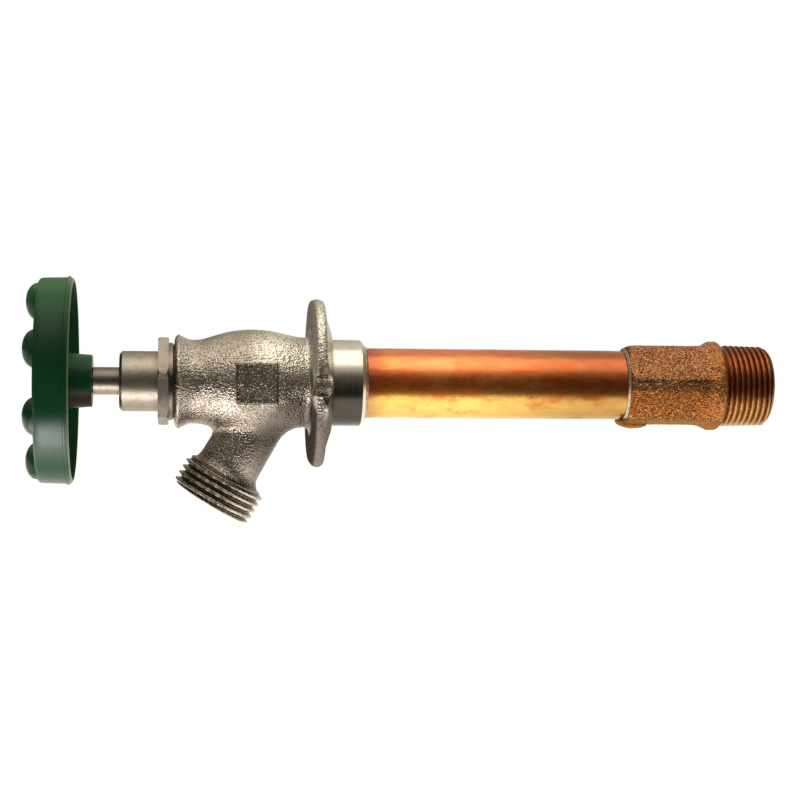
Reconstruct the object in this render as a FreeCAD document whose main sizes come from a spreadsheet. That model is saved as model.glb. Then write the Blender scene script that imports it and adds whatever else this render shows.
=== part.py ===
"""Hose bib: frost-free sillcock with a 3/4 in hose thread, a copper barrel tube and a pipe-thread inlet.

Millimetres. X runs along the tube toward the pipe in the wall, Z is up, and the handwheel points to -X.
The origin is on the tube axis, in the plane of the flange's back face, where it meets the wall.
"""
import FreeCAD, Part
import math
import os

import Sketcher

# Driving sizes. X positions are measured from the wall face, radii from the axis of the piece they belong to.
SIZES = {
    # handwheel
    "rim_front_x": -91.0,
    "rim_back_x": -80.4,
    "rim_r": 32.3,
    "rim_ridge_r": 32.7,
    "rim_wall": 2.6,
    "web_thick": 3.4,
    "dome_circle_r": 26.5,
    "dome_r": 5.6,
    "dome_height": 3.4,
    "hub_end_x": -74.6,
    "hub_r": 8.8,
    "hub_end_r": 8.05,
    "recess_r": 5.8,
    "recess_floor_x": -86.6,
    "window_in_r": 11.6,
    "window_out_r": 20.6,
    "wheel_phase": 21.6,
    "drive_square": 6.2,
    "drive_gap": 0.05,
    # spindle and its rod, with the seals it slides through
    "spindle_front_x": -86.0,
    "stem_r": 4.35,
    "stem_thread_x": -49.8,
    "stem_thread_end_x": -40.0,
    "stem_thread_r": 5.95,
    "stem_pitch": 2.54,
    "stem_groove_x": -47.5,
    "stem_depth": 1.1,
    "tail_r": 5.1,
    "tail_end_x": -31.0,
    "seal_groove_w": 1.7,
    "seal_1_x": -63.7,
    "seal_2_x": -60.9,
    "seal_section_r": 0.69,
    "seal_gap": 0.02,
    "thrust_thick": 0.8,
    "rod_r": 3.175,
    "rod_front_x": -39.0,
    "rod_end_x": 104.0,
    "pin_r": 0.8,
    "pin_x": -34.5,
    # bonnet
    "bonnet_front_x": -66.2,
    "barrel_r": 9.5,
    "hex_front_x": -54.2,
    "hex_back_x": -50.9,
    "bonnet_hex": 25.4,
    "bonnet_hex_turn": 13.0,
    "neck_r": 12.2,
    "gasket_front_x": -49.6,
    "skirt_r": 10.7,
    "skirt_groove_x": -45.8,
    "skirt_depth": 0.7,
    "skirt_pitch": 1.6,
    "skirt_end_x": -37.5,
    "seal_bore_r": 4.42,
    "stem_room_x": -58.8,
    "stem_room_r": 6.02,
    # valve body
    "body_front_x": -49.2,
    "lip_r": 14.9,
    "waist_r": 13.3,
    "waist_front_x": -44.8,
    "waist_back_x": -41.2,
    "flange_root_x": -8.9,
    "root_r": 14.1,
    "bulge_r": 44.7,
    "chamber_r": 9.97,
    "bonnet_bore_r": 10.75,
    "bonnet_bore_x": -36.5,
    "spout_angle": 30.7,
    "spout_x": -32.74,
    "spout_z": -30.09,
    "spout_shift": -0.95,
    "spout_reach": 34.0,
    "spout_neck_r": 9.8,
    "spout_bore_r": 7.9,
    "hose_r": 13.5,
    "hose_pitch": 2.209,
    "hose_depth": 1.43,
    "hose_first": 0.2,
    "hose_end": 9.4,
    "panel_side": 12.6,
    "panel_x": -23.6,
    "panel_z": 0.2,
    "panel_y": -17.0,
    "panel_root_y": -13.5,
    # flange and collar
    "flange_mid_x": -4.5,
    "flange_front": 1.5,
    "flange_back": 1.6,
    "flange_side": 53.0,
    "flange_corner": 21.0,
    "flange_taper": 6.0,
    "back_boss_r": 16.6,
    "back_cone_r": 25.0,
    "root_swell": 4.2,
    "slot_pad_half": 8.6,
    "slot_pad_reach": 5.0,
    "slot_pad_rise": 0.8,
    "slot_r": 3.2,
    "slot_centre": 20.4,
    "slot_mouth": 14.0,
    "collar_r": 13.7,
    "collar_end_x": 10.6,
    "collar_chamfer": 1.2,
    "tube_stop_x": -2.0,
    # tube
    "tube_r": 11.1125,
    "tube_bore_r": 9.97,
    "socket_gap": 0.04,
    "tube_end_x": 104.0,
    "solder_width": 1.4,
    "solder_leg": 1.3,
    # inlet adapter
    "inlet_front_x": 95.2,
    "inlet_hex": 24.4,
    "inlet_hex_turn": 9.0,
    "inlet_hex_end_x": 121.6,
    "ring_front_x": 122.9,
    "ring_back_x": 125.4,
    "ring_r": 14.4,
    "npt_front_x": 127.1,
    "inlet_end_x": 142.3,
    "npt_root_r": 12.05,
    "npt_depth": 1.1,
    "npt_pitch": 1.814,
    "npt_taper": 0.03125,
    "seat_x": 112.5,
    "seat_base_x": 113.6,
    "seat_in_r": 5.2,
    "seat_out_r": 6.6,
    "throat_x": 118.0,
    "throat_r": 6.6,
    "sweat_r": 7.96,
    "sweat_depth": 12.7,
    # valve head
    "holder_front_x": 98.0,
    "holder_r": 7.4,
    "holder_rim_x": 110.9,
    "wing_r": 9.9,
    "wing_thick": 1.8,
    "wing_front_x": 100.0,
    "wing_back_x": 106.5,
    "socket_r": 3.25,
    "socket_end_x": 104.4,
    "clip_x": 101.2,
    "clip_width": 0.9,
    "clip_out_r": 4.0,
    "clip_in_r": 2.65,
    "washer_floor_x": 108.3,
    "seat_washer_r": 6.9,
    "screw_r": 1.6,
    "retainer_r": 4.3,
    "retainer_thick": 0.6,
    "screw_head_r": 3.2,
    "screw_head_thick": 1.6,
    "screw_slot_half": 0.4,
    "screw_slot_depth": 0.8,
    # handle screw and washer, stem guide
    "handle_screw_r": 2.2,
    "handle_screw_head_r": 4.2,
    "handle_screw_head": 2.4,
    "handle_screw_end_x": -76.5,
    "cross_half": 0.55,
    "cross_reach": 2.3,
    "cross_depth": 1.3,
    "handle_washer_r": 4.9,
    "handle_washer_thick": 0.8,
    "guide_x": 52.0,
    "guide_length": 9.0,
    "guide_hub_r": 4.9,
    "guide_r": 9.9,
    "guide_wing": 2.0,
}

FULL_TURN = 360.0
HEX_SIDES = 6
HEX_CORNER = 0.5 / math.cos(math.pi / HEX_SIDES)
DOMES = 8
WINDOWS = 4
WINDOW_HALF = 29.0
WINGS = 4
THREAD_FLANK = 30.0
GROOVE_FLAT = 0.12
THREAD_CLEAR = 0.2
HOSE_GROOVES = 4
NPT_GROOVES = 7
STEM_GROOVES = 3
SKIRT_GROOVES = 5


class Size:
    """A length with the sheet expression that drives it."""

    def __init__(self, value, text):
        self.value = value
        self.text = text

    def _with(self, sign, other, value):
        return Size(value, f"({self.text} {sign} {as_size(other).text})")

    def __add__(self, other):
        return self._with("+", other, self.value + as_size(other).value)

    def __sub__(self, other):
        return self._with("-", other, self.value - as_size(other).value)

    def __mul__(self, other):
        return self._with("*", other, self.value * as_size(other).value)

    def __truediv__(self, other):
        return self._with("/", other, self.value / as_size(other).value)

    def __neg__(self):
        return as_size(0.0) - self


def as_size(number):
    """A plain number as a Size, and a Size as it is."""
    if isinstance(number, Size):
        return number
    return Size(float(number), f"{float(number):.9f}")


class Sheet:
    """Sizes by name, as attributes."""

    def __init__(self, sizes):
        for name, value in sizes.items():
            setattr(self, name, Size(value, "Dims." + name))


doc = FreeCAD.newDocument("hose_bib")
d = Sheet(SIZES)


def write_sheet():
    """Put every driving size in the document's sheet, under its own alias."""
    sheet = doc.addObject("Spreadsheet::Sheet", "Dims")
    for row, (name, value) in enumerate(SIZES.items(), start=1):
        sheet.set(f"A{row}", name)
        sheet.set(f"B{row}", str(value))
        sheet.setAlias(f"B{row}", name)
    doc.recompute()


# Helpers shared by the sub-parts


def new_body(name):
    """An empty body whose label names its file."""
    body = doc.addObject("PartDesign::Body", name)
    body.Label = name
    return body


def origin_item(body, role):
    """A plane or axis of a body's own origin."""
    return next(item for item in body.Origin.OriginFeatures if item.Role == role)


def bind(item, prop, size):
    """Drive one property of an object from the sheet."""
    item.setExpression(prop, as_size(size).text)


def new_sketch(body, name, role, shift=(0, 0, 0), turn=0):
    """A sketch flat on one of the body's origin planes, moved and turned inside that plane."""
    sketch = body.newObject("Sketcher::SketchObject", name)
    sketch.AttachmentSupport = (origin_item(body, role), "")
    sketch.MapMode = "FlatFace"
    base = FreeCAD.Vector(*[as_size(value).value for value in shift])
    rotation = FreeCAD.Rotation(FreeCAD.Vector(0, 0, 1), as_size(turn).value)
    sketch.AttachmentOffset = FreeCAD.Placement(base, rotation)
    for axis, value in zip("xyz", shift):
        bind(sketch, f"AttachmentOffset.Base.{axis}", value)
    bind(sketch, "AttachmentOffset.Rotation.Angle", turn)
    return sketch


def pin_point(sketch, geometry, end, point):
    """Hold one end of a line at sheet-driven coordinates."""
    for kind, size in zip(("DistanceX", "DistanceY"), point):
        size = as_size(size)
        index = sketch.addConstraint(Sketcher.Constraint(kind, -1, 1, geometry, end, size.value))
        sketch.setExpression(f"Constraints[{index}]", size.text)


def vector(point):
    """A sketch point as a vector."""
    return FreeCAD.Vector(as_size(point[0]).value, as_size(point[1]).value, 0)


def arc_over(centre, radius, start, end):
    """The arc of a circle that runs counter-clockwise from start to end."""
    ring_line = Part.Circle(centre, FreeCAD.Vector(0, 0, 1), radius)
    angles = [math.atan2(point.y - centre.y, point.x - centre.x) for point in (start, end)]
    if angles[1] < angles[0]:
        angles[1] += 2 * math.pi
    return Part.ArcOfCircle(ring_line, *angles)


def bulging_arc(start, end, radius):
    """The short arc of a radius between two points, bulging to the left on the way from start to end."""
    chord = end - start
    left = FreeCAD.Vector(-chord.y, chord.x, 0).normalize()
    depth = math.sqrt(max(radius**2 - (chord.Length / 2) ** 2, 0.0))
    return arc_over(start + chord / 2 - left * depth, radius, end, start)


def outline(sketch, points, arcs=None):
    """A closed outline through points. arcs gives the radius of any side that is an arc."""
    arcs = arcs or {}
    edges = []
    count = len(points)
    for index, point in enumerate(points):
        start, end = vector(point), vector(points[(index + 1) % count])
        if index in arcs:
            edge = sketch.addGeometry(bulging_arc(start, end, arcs[index].value), False)
            ends = (2, 1)
        else:
            edge = sketch.addGeometry(Part.LineSegment(start, end), False)
            ends = (1, 2)
        edges.append((edge, ends))
    for index, (edge, ends) in enumerate(edges):
        after, after_ends = edges[(index + 1) % count]
        sketch.addConstraint(Sketcher.Constraint("Coincident", edge, ends[1], after, after_ends[0]))
        pin_point(sketch, edge, ends[0], points[index])
        if index in arcs:
            held = sketch.addConstraint(Sketcher.Constraint("Radius", edge, arcs[index].value))
            sketch.setExpression(f"Constraints[{held}]", arcs[index].text)


def circle(sketch, centre, radius):
    """A circle at a sheet-driven place and radius."""
    radius = as_size(radius)
    shape = Part.Circle(vector(centre), FreeCAD.Vector(0, 0, 1), radius.value)
    edge = sketch.addGeometry(shape, False)
    pin_point(sketch, edge, 3, centre)
    held = sketch.addConstraint(Sketcher.Constraint("Radius", edge, radius.value))
    sketch.setExpression(f"Constraints[{held}]", radius.text)


def hexagon(sketch, across_flats):
    """A hexagon round the sketch origin with a corner on its own x axis."""
    corner = across_flats * (2 * HEX_CORNER)
    points = []
    for index in range(HEX_SIDES):
        angle = math.radians(index * FULL_TURN / HEX_SIDES)
        points.append((corner / 2 * math.cos(angle), corner / 2 * math.sin(angle)))
    outline(sketch, points)


def rectangle(sketch, left, bottom, right, top):
    """A rectangle from its sides."""
    outline(sketch, [(left, bottom), (right, bottom), (right, top), (left, top)])


def round_square(sketch, half, corner):
    """A square about the sketch origin with round corners, drawn clockwise so that its arcs bulge outwards."""
    flat = half - corner
    points = [(-flat, half), (flat, half), (half, flat), (half, -flat)]
    points += [(flat, -half), (-flat, -half), (-half, -flat), (-half, flat)]
    outline(sketch, points, arcs={side: corner for side in (1, 3, 5, 7)})


def turned(body, name, sketch, cut=False):
    """Revolve a half outline about its sketch's x axis, adding or cutting."""
    kind = "PartDesign::Groove" if cut else "PartDesign::Revolution"
    feature = body.newObject(kind, name)
    feature.Profile = sketch
    feature.ReferenceAxis = (sketch, ["H_Axis"])
    feature.Angle = FULL_TURN
    sketch.Visibility = False
    return feature


def lathe(body, name, points, arcs=None, cut=False, shift=(0, 0, 0), turn=0):
    """A turned feature from (x, r) points about the X axis or a moved axis in the XZ plane."""
    sketch = new_sketch(body, name + "_outline", "XZ_Plane", shift, turn)
    outline(sketch, points, arcs)
    return turned(body, name, sketch, cut)


def turned_about_side(body, name, points, side, arcs=None, shift=(0, 0, 0), turn=0):
    """Revolve an outline about one of its own straight sides."""
    sketch = new_sketch(body, name + "_outline", "XZ_Plane", shift, turn)
    outline(sketch, points, arcs)
    start, end = vector(points[side]), vector(points[(side + 1) % len(points)])
    axis = sketch.addGeometry(Part.LineSegment(start, end), True)
    sketch.addConstraint(Sketcher.Constraint("Coincident", axis, 1, side, 1))
    sketch.addConstraint(Sketcher.Constraint("Coincident", axis, 2, side, 2))
    feature = body.newObject("PartDesign::Revolution", name)
    feature.Profile = sketch
    feature.ReferenceAxis = (sketch, ["Axis0"])
    feature.Angle = FULL_TURN
    return feature


def drum(front, back, radius):
    """The half outline of a plain cylinder."""
    return [(front, 0), (front, radius), (back, radius), (back, 0)]


def ring(front, back, inner, outer):
    """The half outline of a plain ring."""
    return [(front, inner), (front, outer), (back, outer), (back, inner)]


def padded(body, name, sketch, length, reverse=False):
    """Raise a sketch by a length along its normal, or against it."""
    feature = body.newObject("PartDesign::Pad", name)
    feature.Profile = sketch
    feature.Length = as_size(length).value
    bind(feature, "Length", length)
    feature.Reversed = reverse
    return feature


def pocketed(body, name, sketch, length, reverse=False):
    """Cut a sketch by a length against its normal, or along it."""
    feature = body.newObject("PartDesign::Pocket", name)
    feature.Profile = sketch
    feature.Length = as_size(length).value
    bind(feature, "Length", length)
    feature.Reversed = reverse
    return feature


def repeated_round(body, name, features, count):
    """Repeat features evenly round the X axis."""
    pattern = body.newObject("PartDesign::PolarPattern", name)
    pattern.Originals = features
    pattern.Axis = (origin_item(body, "X_Axis"), [""])
    pattern.Angle = FULL_TURN
    pattern.Occurrences = count
    body.Tip = pattern
    return pattern


def repeated_along(body, name, feature, sketch, pitch, count):
    """Repeat a feature along its sketch's x axis at a pitch."""
    pattern = body.newObject("PartDesign::LinearPattern", name)
    pattern.Originals = [feature]
    pattern.Direction = (sketch, ["H_Axis"])
    pattern.Length = pitch.value * (count - 1)
    bind(pattern, "Length", pitch * (count - 1))
    pattern.Occurrences = count
    body.Tip = pattern
    return pattern


# Fixed pieces


def spout_frame():
    """Where the spout's outline sketches lie: on the hose thread's first crest, x down the spout."""
    return {"shift": (d.spout_x, d.spout_z, 0), "turn": -(d.spout_angle + 90)}


def body_casting(body):
    """The turned core of the body: lip, waist, bulge and the root of the flange."""
    points = [
        (d.body_front_x, 0),
        (d.body_front_x, d.waist_r),
        (d.body_front_x + 1.0, d.lip_r),
        (d.body_front_x + 2.2, d.lip_r - 0.3),
        (d.waist_front_x, d.waist_r),
        (d.waist_back_x, d.waist_r),
        (d.flange_root_x, d.root_r),
        (0, d.root_r),
        (0, 0),
    ]
    lathe(body, "core", points, arcs={5: d.bulge_r})


def body_spout(body):
    """The slanting spout with the plain nipple its hose thread is cut on."""
    neck = [
        (-d.spout_reach, d.spout_shift),
        (-d.spout_reach, d.spout_shift + d.spout_neck_r),
        (-1.0, d.spout_shift + d.spout_neck_r),
        (-1.0, d.spout_shift),
    ]
    turned_about_side(body, "spout_neck", neck, 3, **spout_frame())
    nipple = [
        (-3.4, 0),
        (-3.4, d.spout_neck_r - 1.4),
        (-2.0, d.spout_neck_r),
        (-0.7, d.hose_r - d.hose_depth),
        (d.hose_first - 0.28, d.hose_r),
        (d.hose_end - 0.4, d.hose_r),
        (d.hose_end, d.hose_r - 0.7),
        (d.hose_end, 0),
    ]
    lathe(body, "hose_nipple", nipple, **spout_frame())


def body_flange(body):
    """The round-cornered wall flange and a raised pad round each of its screw slots."""
    half = d.flange_side / 2
    for name, depth, reverse in (("front", d.flange_front, True), ("back", d.flange_back, False)):
        sketch = new_sketch(body, f"flange_{name}_outline", "YZ_Plane", (0, 0, d.flange_mid_x))
        round_square(sketch, half, d.flange_corner)
        pad = padded(body, f"flange_{name}", sketch, depth, reverse)
        pad.TaperAngle = -SIZES["flange_taper"]
        bind(pad, "TaperAngle", -d.flange_taper)
    back_x = d.flange_mid_x + d.flange_back
    rim = d.back_cone_r
    cone = [(back_x - 1.0, 0), (back_x - 1.0, rim), (back_x, rim), (0, d.back_boss_r), (0, 0)]
    lathe(body, "wall_side", cone)
    swell = [
        (d.flange_root_x - 3.0, 0),
        (d.flange_root_x - 3.0, d.root_r),
        (d.flange_root_x + 0.4, d.root_r + 1.1),
        (d.flange_root_x + 2.3, d.root_r + d.root_swell),
        (d.flange_mid_x, d.root_r + d.root_swell),
        (d.flange_mid_x, 0),
    ]
    lathe(body, "flange_root", swell)
    for side in (-1, 1):
        label = "near" if side < 0 else "far"
        pad_sketch = new_sketch(body, f"slot_pad_{label}_outline", "YZ_Plane", (0, 0, d.flange_mid_x))
        inner, outer = d.slot_centre - d.slot_pad_reach, half - 0.5
        left, right = (-outer, -inner) if side < 0 else (inner, outer)
        rectangle(pad_sketch, left, -d.slot_pad_half, right, d.slot_pad_half)
        padded(body, f"slot_pad_{label}", pad_sketch, d.flange_front + d.slot_pad_rise, True)


def flange_slots(body):
    """Cut the two open screw slots, flared at the mouth."""
    mouth_y = d.flange_side / 2 + 2.0
    neck_y = d.slot_centre + 3.2
    points = [
        (d.slot_centre, -d.slot_r),
        (d.slot_centre, d.slot_r),
        (neck_y, d.slot_r),
        (mouth_y, d.slot_mouth / 2),
        (mouth_y, -d.slot_mouth / 2),
        (neck_y, -d.slot_r),
    ]
    mirrored = [(-y, z) for y, z in reversed(points)]
    for label, corners, bottom in (("far", points, 0), ("near", mirrored, 4)):
        sketch = new_sketch(body, f"slot_{label}_outline", "YZ_Plane", (0, 0, d.flange_mid_x + 8.0))
        outline(sketch, corners, arcs={bottom: d.slot_r + 0.001})
        pocketed(body, f"slot_{label}", sketch, as_size(16.0))


def body_collar(body):
    """The turned collar behind the flange that takes the tube."""
    points = [
        (-1.0, 0),
        (-1.0, d.collar_r),
        (d.collar_end_x - d.collar_chamfer, d.collar_r),
        (d.collar_end_x, d.collar_r - d.collar_chamfer),
        (d.collar_end_x, 0),
    ]
    lathe(body, "collar", points)


def body_panel(body):
    """The plain square panel on the near side of the bulge."""
    half = d.panel_side / 2
    sketch = new_sketch(body, "panel_outline", "XZ_Plane", (0, 0, -d.panel_root_y))
    left, bottom = d.panel_x - half, d.panel_z - half
    rectangle(sketch, left, bottom, left + d.panel_side, bottom + d.panel_side)
    padded(body, "panel", sketch, d.panel_root_y - d.panel_y)


def body_bores(body):
    """Everything cut inside the body: bonnet bore, chamber, tube socket and spout bore."""
    points = [
        (d.body_front_x - 1.0, 0),
        (d.body_front_x - 1.0, d.bonnet_bore_r),
        (d.bonnet_bore_x, d.bonnet_bore_r),
        (d.bonnet_bore_x, d.chamber_r),
        (d.tube_stop_x, d.chamber_r),
        (d.tube_stop_x, d.tube_r + d.socket_gap),
        (d.collar_end_x + 1.0, d.tube_r + d.socket_gap),
        (d.collar_end_x + 1.0, 0),
    ]
    lathe(body, "chamber", points, cut=True)
    spout = drum(-d.spout_reach + 2.0, d.hose_end + 1.0, d.spout_bore_r)
    lathe(body, "spout_bore", spout, cut=True, **spout_frame())


def ring_grooves(body, name, first, depth, crest_r, pitch, count, frame=None):
    """A thread drawn as evenly spaced V grooves, with a flat land left at each crest."""
    flank = depth * math.tan(math.radians(THREAD_FLANK))
    points = [
        (first - flank - GROOVE_FLAT, crest_r + THREAD_CLEAR),
        (first - flank, crest_r),
        (first - GROOVE_FLAT, crest_r - depth),
        (first + GROOVE_FLAT, crest_r - depth),
        (first + flank, crest_r),
        (first + flank + GROOVE_FLAT, crest_r + THREAD_CLEAR),
    ]
    sketch = new_sketch(body, name + "_outline", "XZ_Plane", **(frame or {}))
    outline(sketch, points)
    groove = turned(body, name, sketch, cut=True)
    return repeated_along(body, name + "_turns", groove, sketch, pitch, count)


def valve_body():
    """The cast body with every outside and inside shape."""
    body = new_body("valve_body")
    body_casting(body)
    body_spout(body)
    body_flange(body)
    flange_slots(body)
    body_collar(body)
    body_panel(body)
    body_bores(body)
    first = d.hose_first + d.hose_pitch / 2
    ring_grooves(
        body, "hose_thread", first, d.hose_depth, d.hose_r, d.hose_pitch, HOSE_GROOVES, spout_frame()
    )


def bonnet():
    """The bonnet: barrel, hexagon, neck and the skirt screwed into the body."""
    body = new_body("bonnet")
    points = [
        (d.bonnet_front_x, 0),
        (d.bonnet_front_x, d.barrel_r - 0.9),
        (d.bonnet_front_x + 0.9, d.barrel_r),
        (d.hex_front_x + 0.5, d.barrel_r),
        (d.hex_front_x + 0.5, d.neck_r),
        (d.gasket_front_x, d.neck_r),
        (d.gasket_front_x, d.skirt_r - 0.9),
        (d.body_front_x + 1.2, d.skirt_r - 0.9),
        (d.body_front_x + 2.1, d.skirt_r),
        (d.skirt_end_x - 0.8, d.skirt_r),
        (d.skirt_end_x, d.skirt_r - 0.8),
        (d.skirt_end_x, 0),
    ]
    lathe(body, "turned_outside", points)
    sketch = new_sketch(body, "hex_outline", "YZ_Plane", (0, 0, d.hex_front_x), -(d.bonnet_hex_turn + 180))
    hexagon(sketch, d.bonnet_hex)
    padded(body, "hex", sketch, d.hex_back_x - d.hex_front_x)
    corner = d.bonnet_hex * HEX_CORNER
    for name, face, inward in (("front", d.hex_front_x, 1), ("back", d.hex_back_x, -1)):
        points = [(face, corner - 0.9), (face, corner + 1.0), (face + inward * 1.1, corner + 1.0)]
        lathe(body, f"hex_chamfer_{name}", points, cut=True)
    bore = [
        (d.bonnet_front_x - 1.0, 0),
        (d.bonnet_front_x - 1.0, d.seal_bore_r),
        (d.stem_room_x, d.seal_bore_r),
        (d.stem_room_x, d.stem_room_r),
        (d.skirt_end_x + 1.0, d.stem_room_r),
        (d.skirt_end_x + 1.0, 0),
    ]
    lathe(body, "bore", bore, cut=True)
    groove_r = d.stem_r + (d.seal_section_r + d.seal_gap) * 2
    for name, middle in (("seal_groove_1", d.seal_1_x), ("seal_groove_2", d.seal_2_x)):
        front = middle - d.seal_groove_w / 2
        groove = ring(front, front + d.seal_groove_w, d.seal_bore_r - 0.5, groove_r)
        lathe(body, name, groove, cut=True)
    ring_grooves(
        body, "skirt_thread", d.skirt_groove_x, d.skirt_depth, d.skirt_r, d.skirt_pitch, SKIRT_GROOVES
    )


def stem_o_rings():
    """Two identical round seals in the bonnet's grooves, one solid each."""
    rings = []
    for index, middle in enumerate((d.seal_1_x, d.seal_2_x), start=1):
        seal = doc.addObject("Part::Torus", f"seal_{index}")
        bind(seal, "Radius1", d.stem_r + d.seal_gap + d.seal_section_r)
        bind(seal, "Radius2", d.seal_section_r)
        turn = FreeCAD.Rotation(FreeCAD.Vector(0, 1, 0), 90)
        seal.Placement = FreeCAD.Placement(FreeCAD.Vector(middle.value, 0, 0), turn)
        bind(seal, "Placement.Base.x", middle)
        rings.append(seal)
    pair = doc.addObject("Part::Compound", "stem_o_rings")
    pair.Links = rings
    pair.Label = "stem_o_rings"


def bonnet_gasket():
    """The flat gasket pinched between bonnet and body lip."""
    body = new_body("bonnet_gasket")
    lathe(body, "gasket", ring(d.gasket_front_x, d.body_front_x, d.skirt_r - 0.6, d.neck_r - 0.5))


def copper_tube():
    """The drawn barrel tube."""
    body = new_body("copper_tube")
    lathe(body, "tube", ring(d.tube_stop_x, d.tube_end_x, d.tube_bore_r, d.tube_r))


def solder_ring(name, root, tip):
    """A solder fillet where the tube leaves its socket."""
    body = new_body(name)
    points = [(root, d.tube_r), (root, d.tube_r + d.solder_leg), (tip, d.tube_r + 0.08), (tip, d.tube_r)]
    lathe(body, "fillet", points)


def inlet_adapter():
    """The cast inlet: hexagon, round ring, tapered thread, valve seat and sweat socket."""
    body = new_body("inlet_adapter")
    sketch = new_sketch(body, "hex_outline", "YZ_Plane", (0, 0, d.inlet_front_x), -(d.inlet_hex_turn + 180))
    hexagon(sketch, d.inlet_hex)
    padded(body, "hex", sketch, d.ring_front_x - d.inlet_front_x)
    corner = d.inlet_hex * HEX_CORNER
    chamfer = [
        (d.inlet_front_x, corner - 1.5),
        (d.inlet_front_x, corner + 1.0),
        (d.inlet_front_x + 2.5, corner + 1.0),
    ]
    lathe(body, "hex_chamfer", chamfer, cut=True)
    ring_outline = [
        (d.inlet_hex_end_x - 2.6, 0),
        (d.inlet_hex_end_x - 2.6, d.inlet_hex / 2),
        (d.inlet_hex_end_x - 0.4, d.inlet_hex / 2 + 0.8),
        (d.ring_front_x, d.ring_r),
        (d.ring_back_x, d.ring_r),
        (d.npt_front_x, d.npt_root_r),
        (d.npt_front_x, 0),
    ]
    lathe(body, "ring", ring_outline)
    lathe(body, "inlet_thread", npt_outline())
    lathe(body, "passages", inlet_passages(), cut=True)


def npt_outline():
    """The tapered pipe thread's half outline: V ridges that shrink toward the inlet end."""
    points = [(d.npt_front_x - 1.0, 0), (d.npt_front_x - 1.0, d.npt_root_r)]
    for turn in range(NPT_GROOVES + 1):
        crest_x = d.npt_front_x + 0.9 + d.npt_pitch * turn
        drop = d.npt_taper * SIZES["npt_pitch"] * turn
        root_r = d.npt_root_r - drop
        points += [
            (crest_x - d.npt_pitch / 2 + 0.1, root_r),
            (crest_x - 0.15, root_r + d.npt_depth),
            (crest_x + 0.15, root_r + d.npt_depth),
        ]
    end_r = d.npt_root_r - d.npt_taper * SIZES["npt_pitch"] * (NPT_GROOVES + 1)
    points += [(d.inlet_end_x - 0.5, end_r + 0.2), (d.inlet_end_x, end_r - 0.4), (d.inlet_end_x, 0)]
    return points


def inlet_passages():
    """The inlet's inside: tube socket, wing chamber, raised seat, throat and sweat socket."""
    socket = d.tube_r + d.socket_gap
    sweat_x = d.inlet_end_x - d.sweat_depth
    return [
        (d.inlet_front_x - 1.0, 0),
        (d.inlet_front_x - 1.0, socket),
        (d.tube_end_x, socket),
        (d.tube_end_x, d.tube_bore_r),
        (d.seat_base_x, d.tube_bore_r),
        (d.seat_base_x, d.seat_out_r + 0.6),
        (d.seat_x, d.seat_out_r),
        (d.seat_x, d.seat_in_r),
        (d.throat_x, d.seat_in_r),
        (d.throat_x, d.throat_r),
        (sweat_x, d.throat_r),
        (sweat_x, d.sweat_r),
        (d.inlet_end_x + 1.0, d.sweat_r),
        (d.inlet_end_x + 1.0, 0),
    ]


# Pieces that turn with the handwheel


def wheel_outline():
    """The handwheel's half outline: recessed front, web, hollow rim and hub."""
    inner = d.rim_r - d.rim_wall
    return [
        (d.recess_floor_x, 0),
        (d.recess_floor_x, d.recess_r),
        (d.rim_front_x + 0.4, d.recess_r),
        (d.rim_front_x, d.recess_r + 0.5),
        (d.rim_front_x, d.rim_r - 1.6),
        (d.rim_front_x + 0.5, d.rim_r - 0.5),
        (d.rim_front_x + 1.6, d.rim_r),
        (d.rim_back_x - 2.0, d.rim_r + 0.15),
        (d.rim_back_x - 1.1, d.rim_ridge_r),
        (d.rim_back_x - 0.4, d.rim_r - 0.2),
        (d.rim_back_x, d.rim_r - 0.9),
        (d.rim_back_x, inner + 0.6),
        (d.rim_back_x - 0.5, inner),
        (d.rim_front_x + d.web_thick + 1.6, inner - 0.5),
        (d.rim_front_x + d.web_thick, inner - 2.4),
        (d.rim_front_x + d.web_thick, d.hub_r + 1.9),
        (d.rim_front_x + d.web_thick + 2.0, d.hub_r),
        (d.hub_end_x - 0.4, d.hub_end_r),
        (d.hub_end_x, d.hub_end_r - 0.4),
        (d.hub_end_x, 0),
    ]


def wheel_dome(body):
    """One grip dome on the front of the rim."""
    root_x = d.rim_front_x + 1.7
    tip_x = d.rim_front_x - d.dome_height
    edge_z = d.dome_circle_r + d.dome_r
    cap_r = (d.dome_r * d.dome_r + d.dome_height * d.dome_height) / (d.dome_height * 2)
    points = [(root_x, d.dome_circle_r), (tip_x, d.dome_circle_r), (d.rim_front_x, edge_z), (root_x, edge_z)]
    return turned_about_side(body, "dome", points, 0, arcs={1: cap_r})


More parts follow.
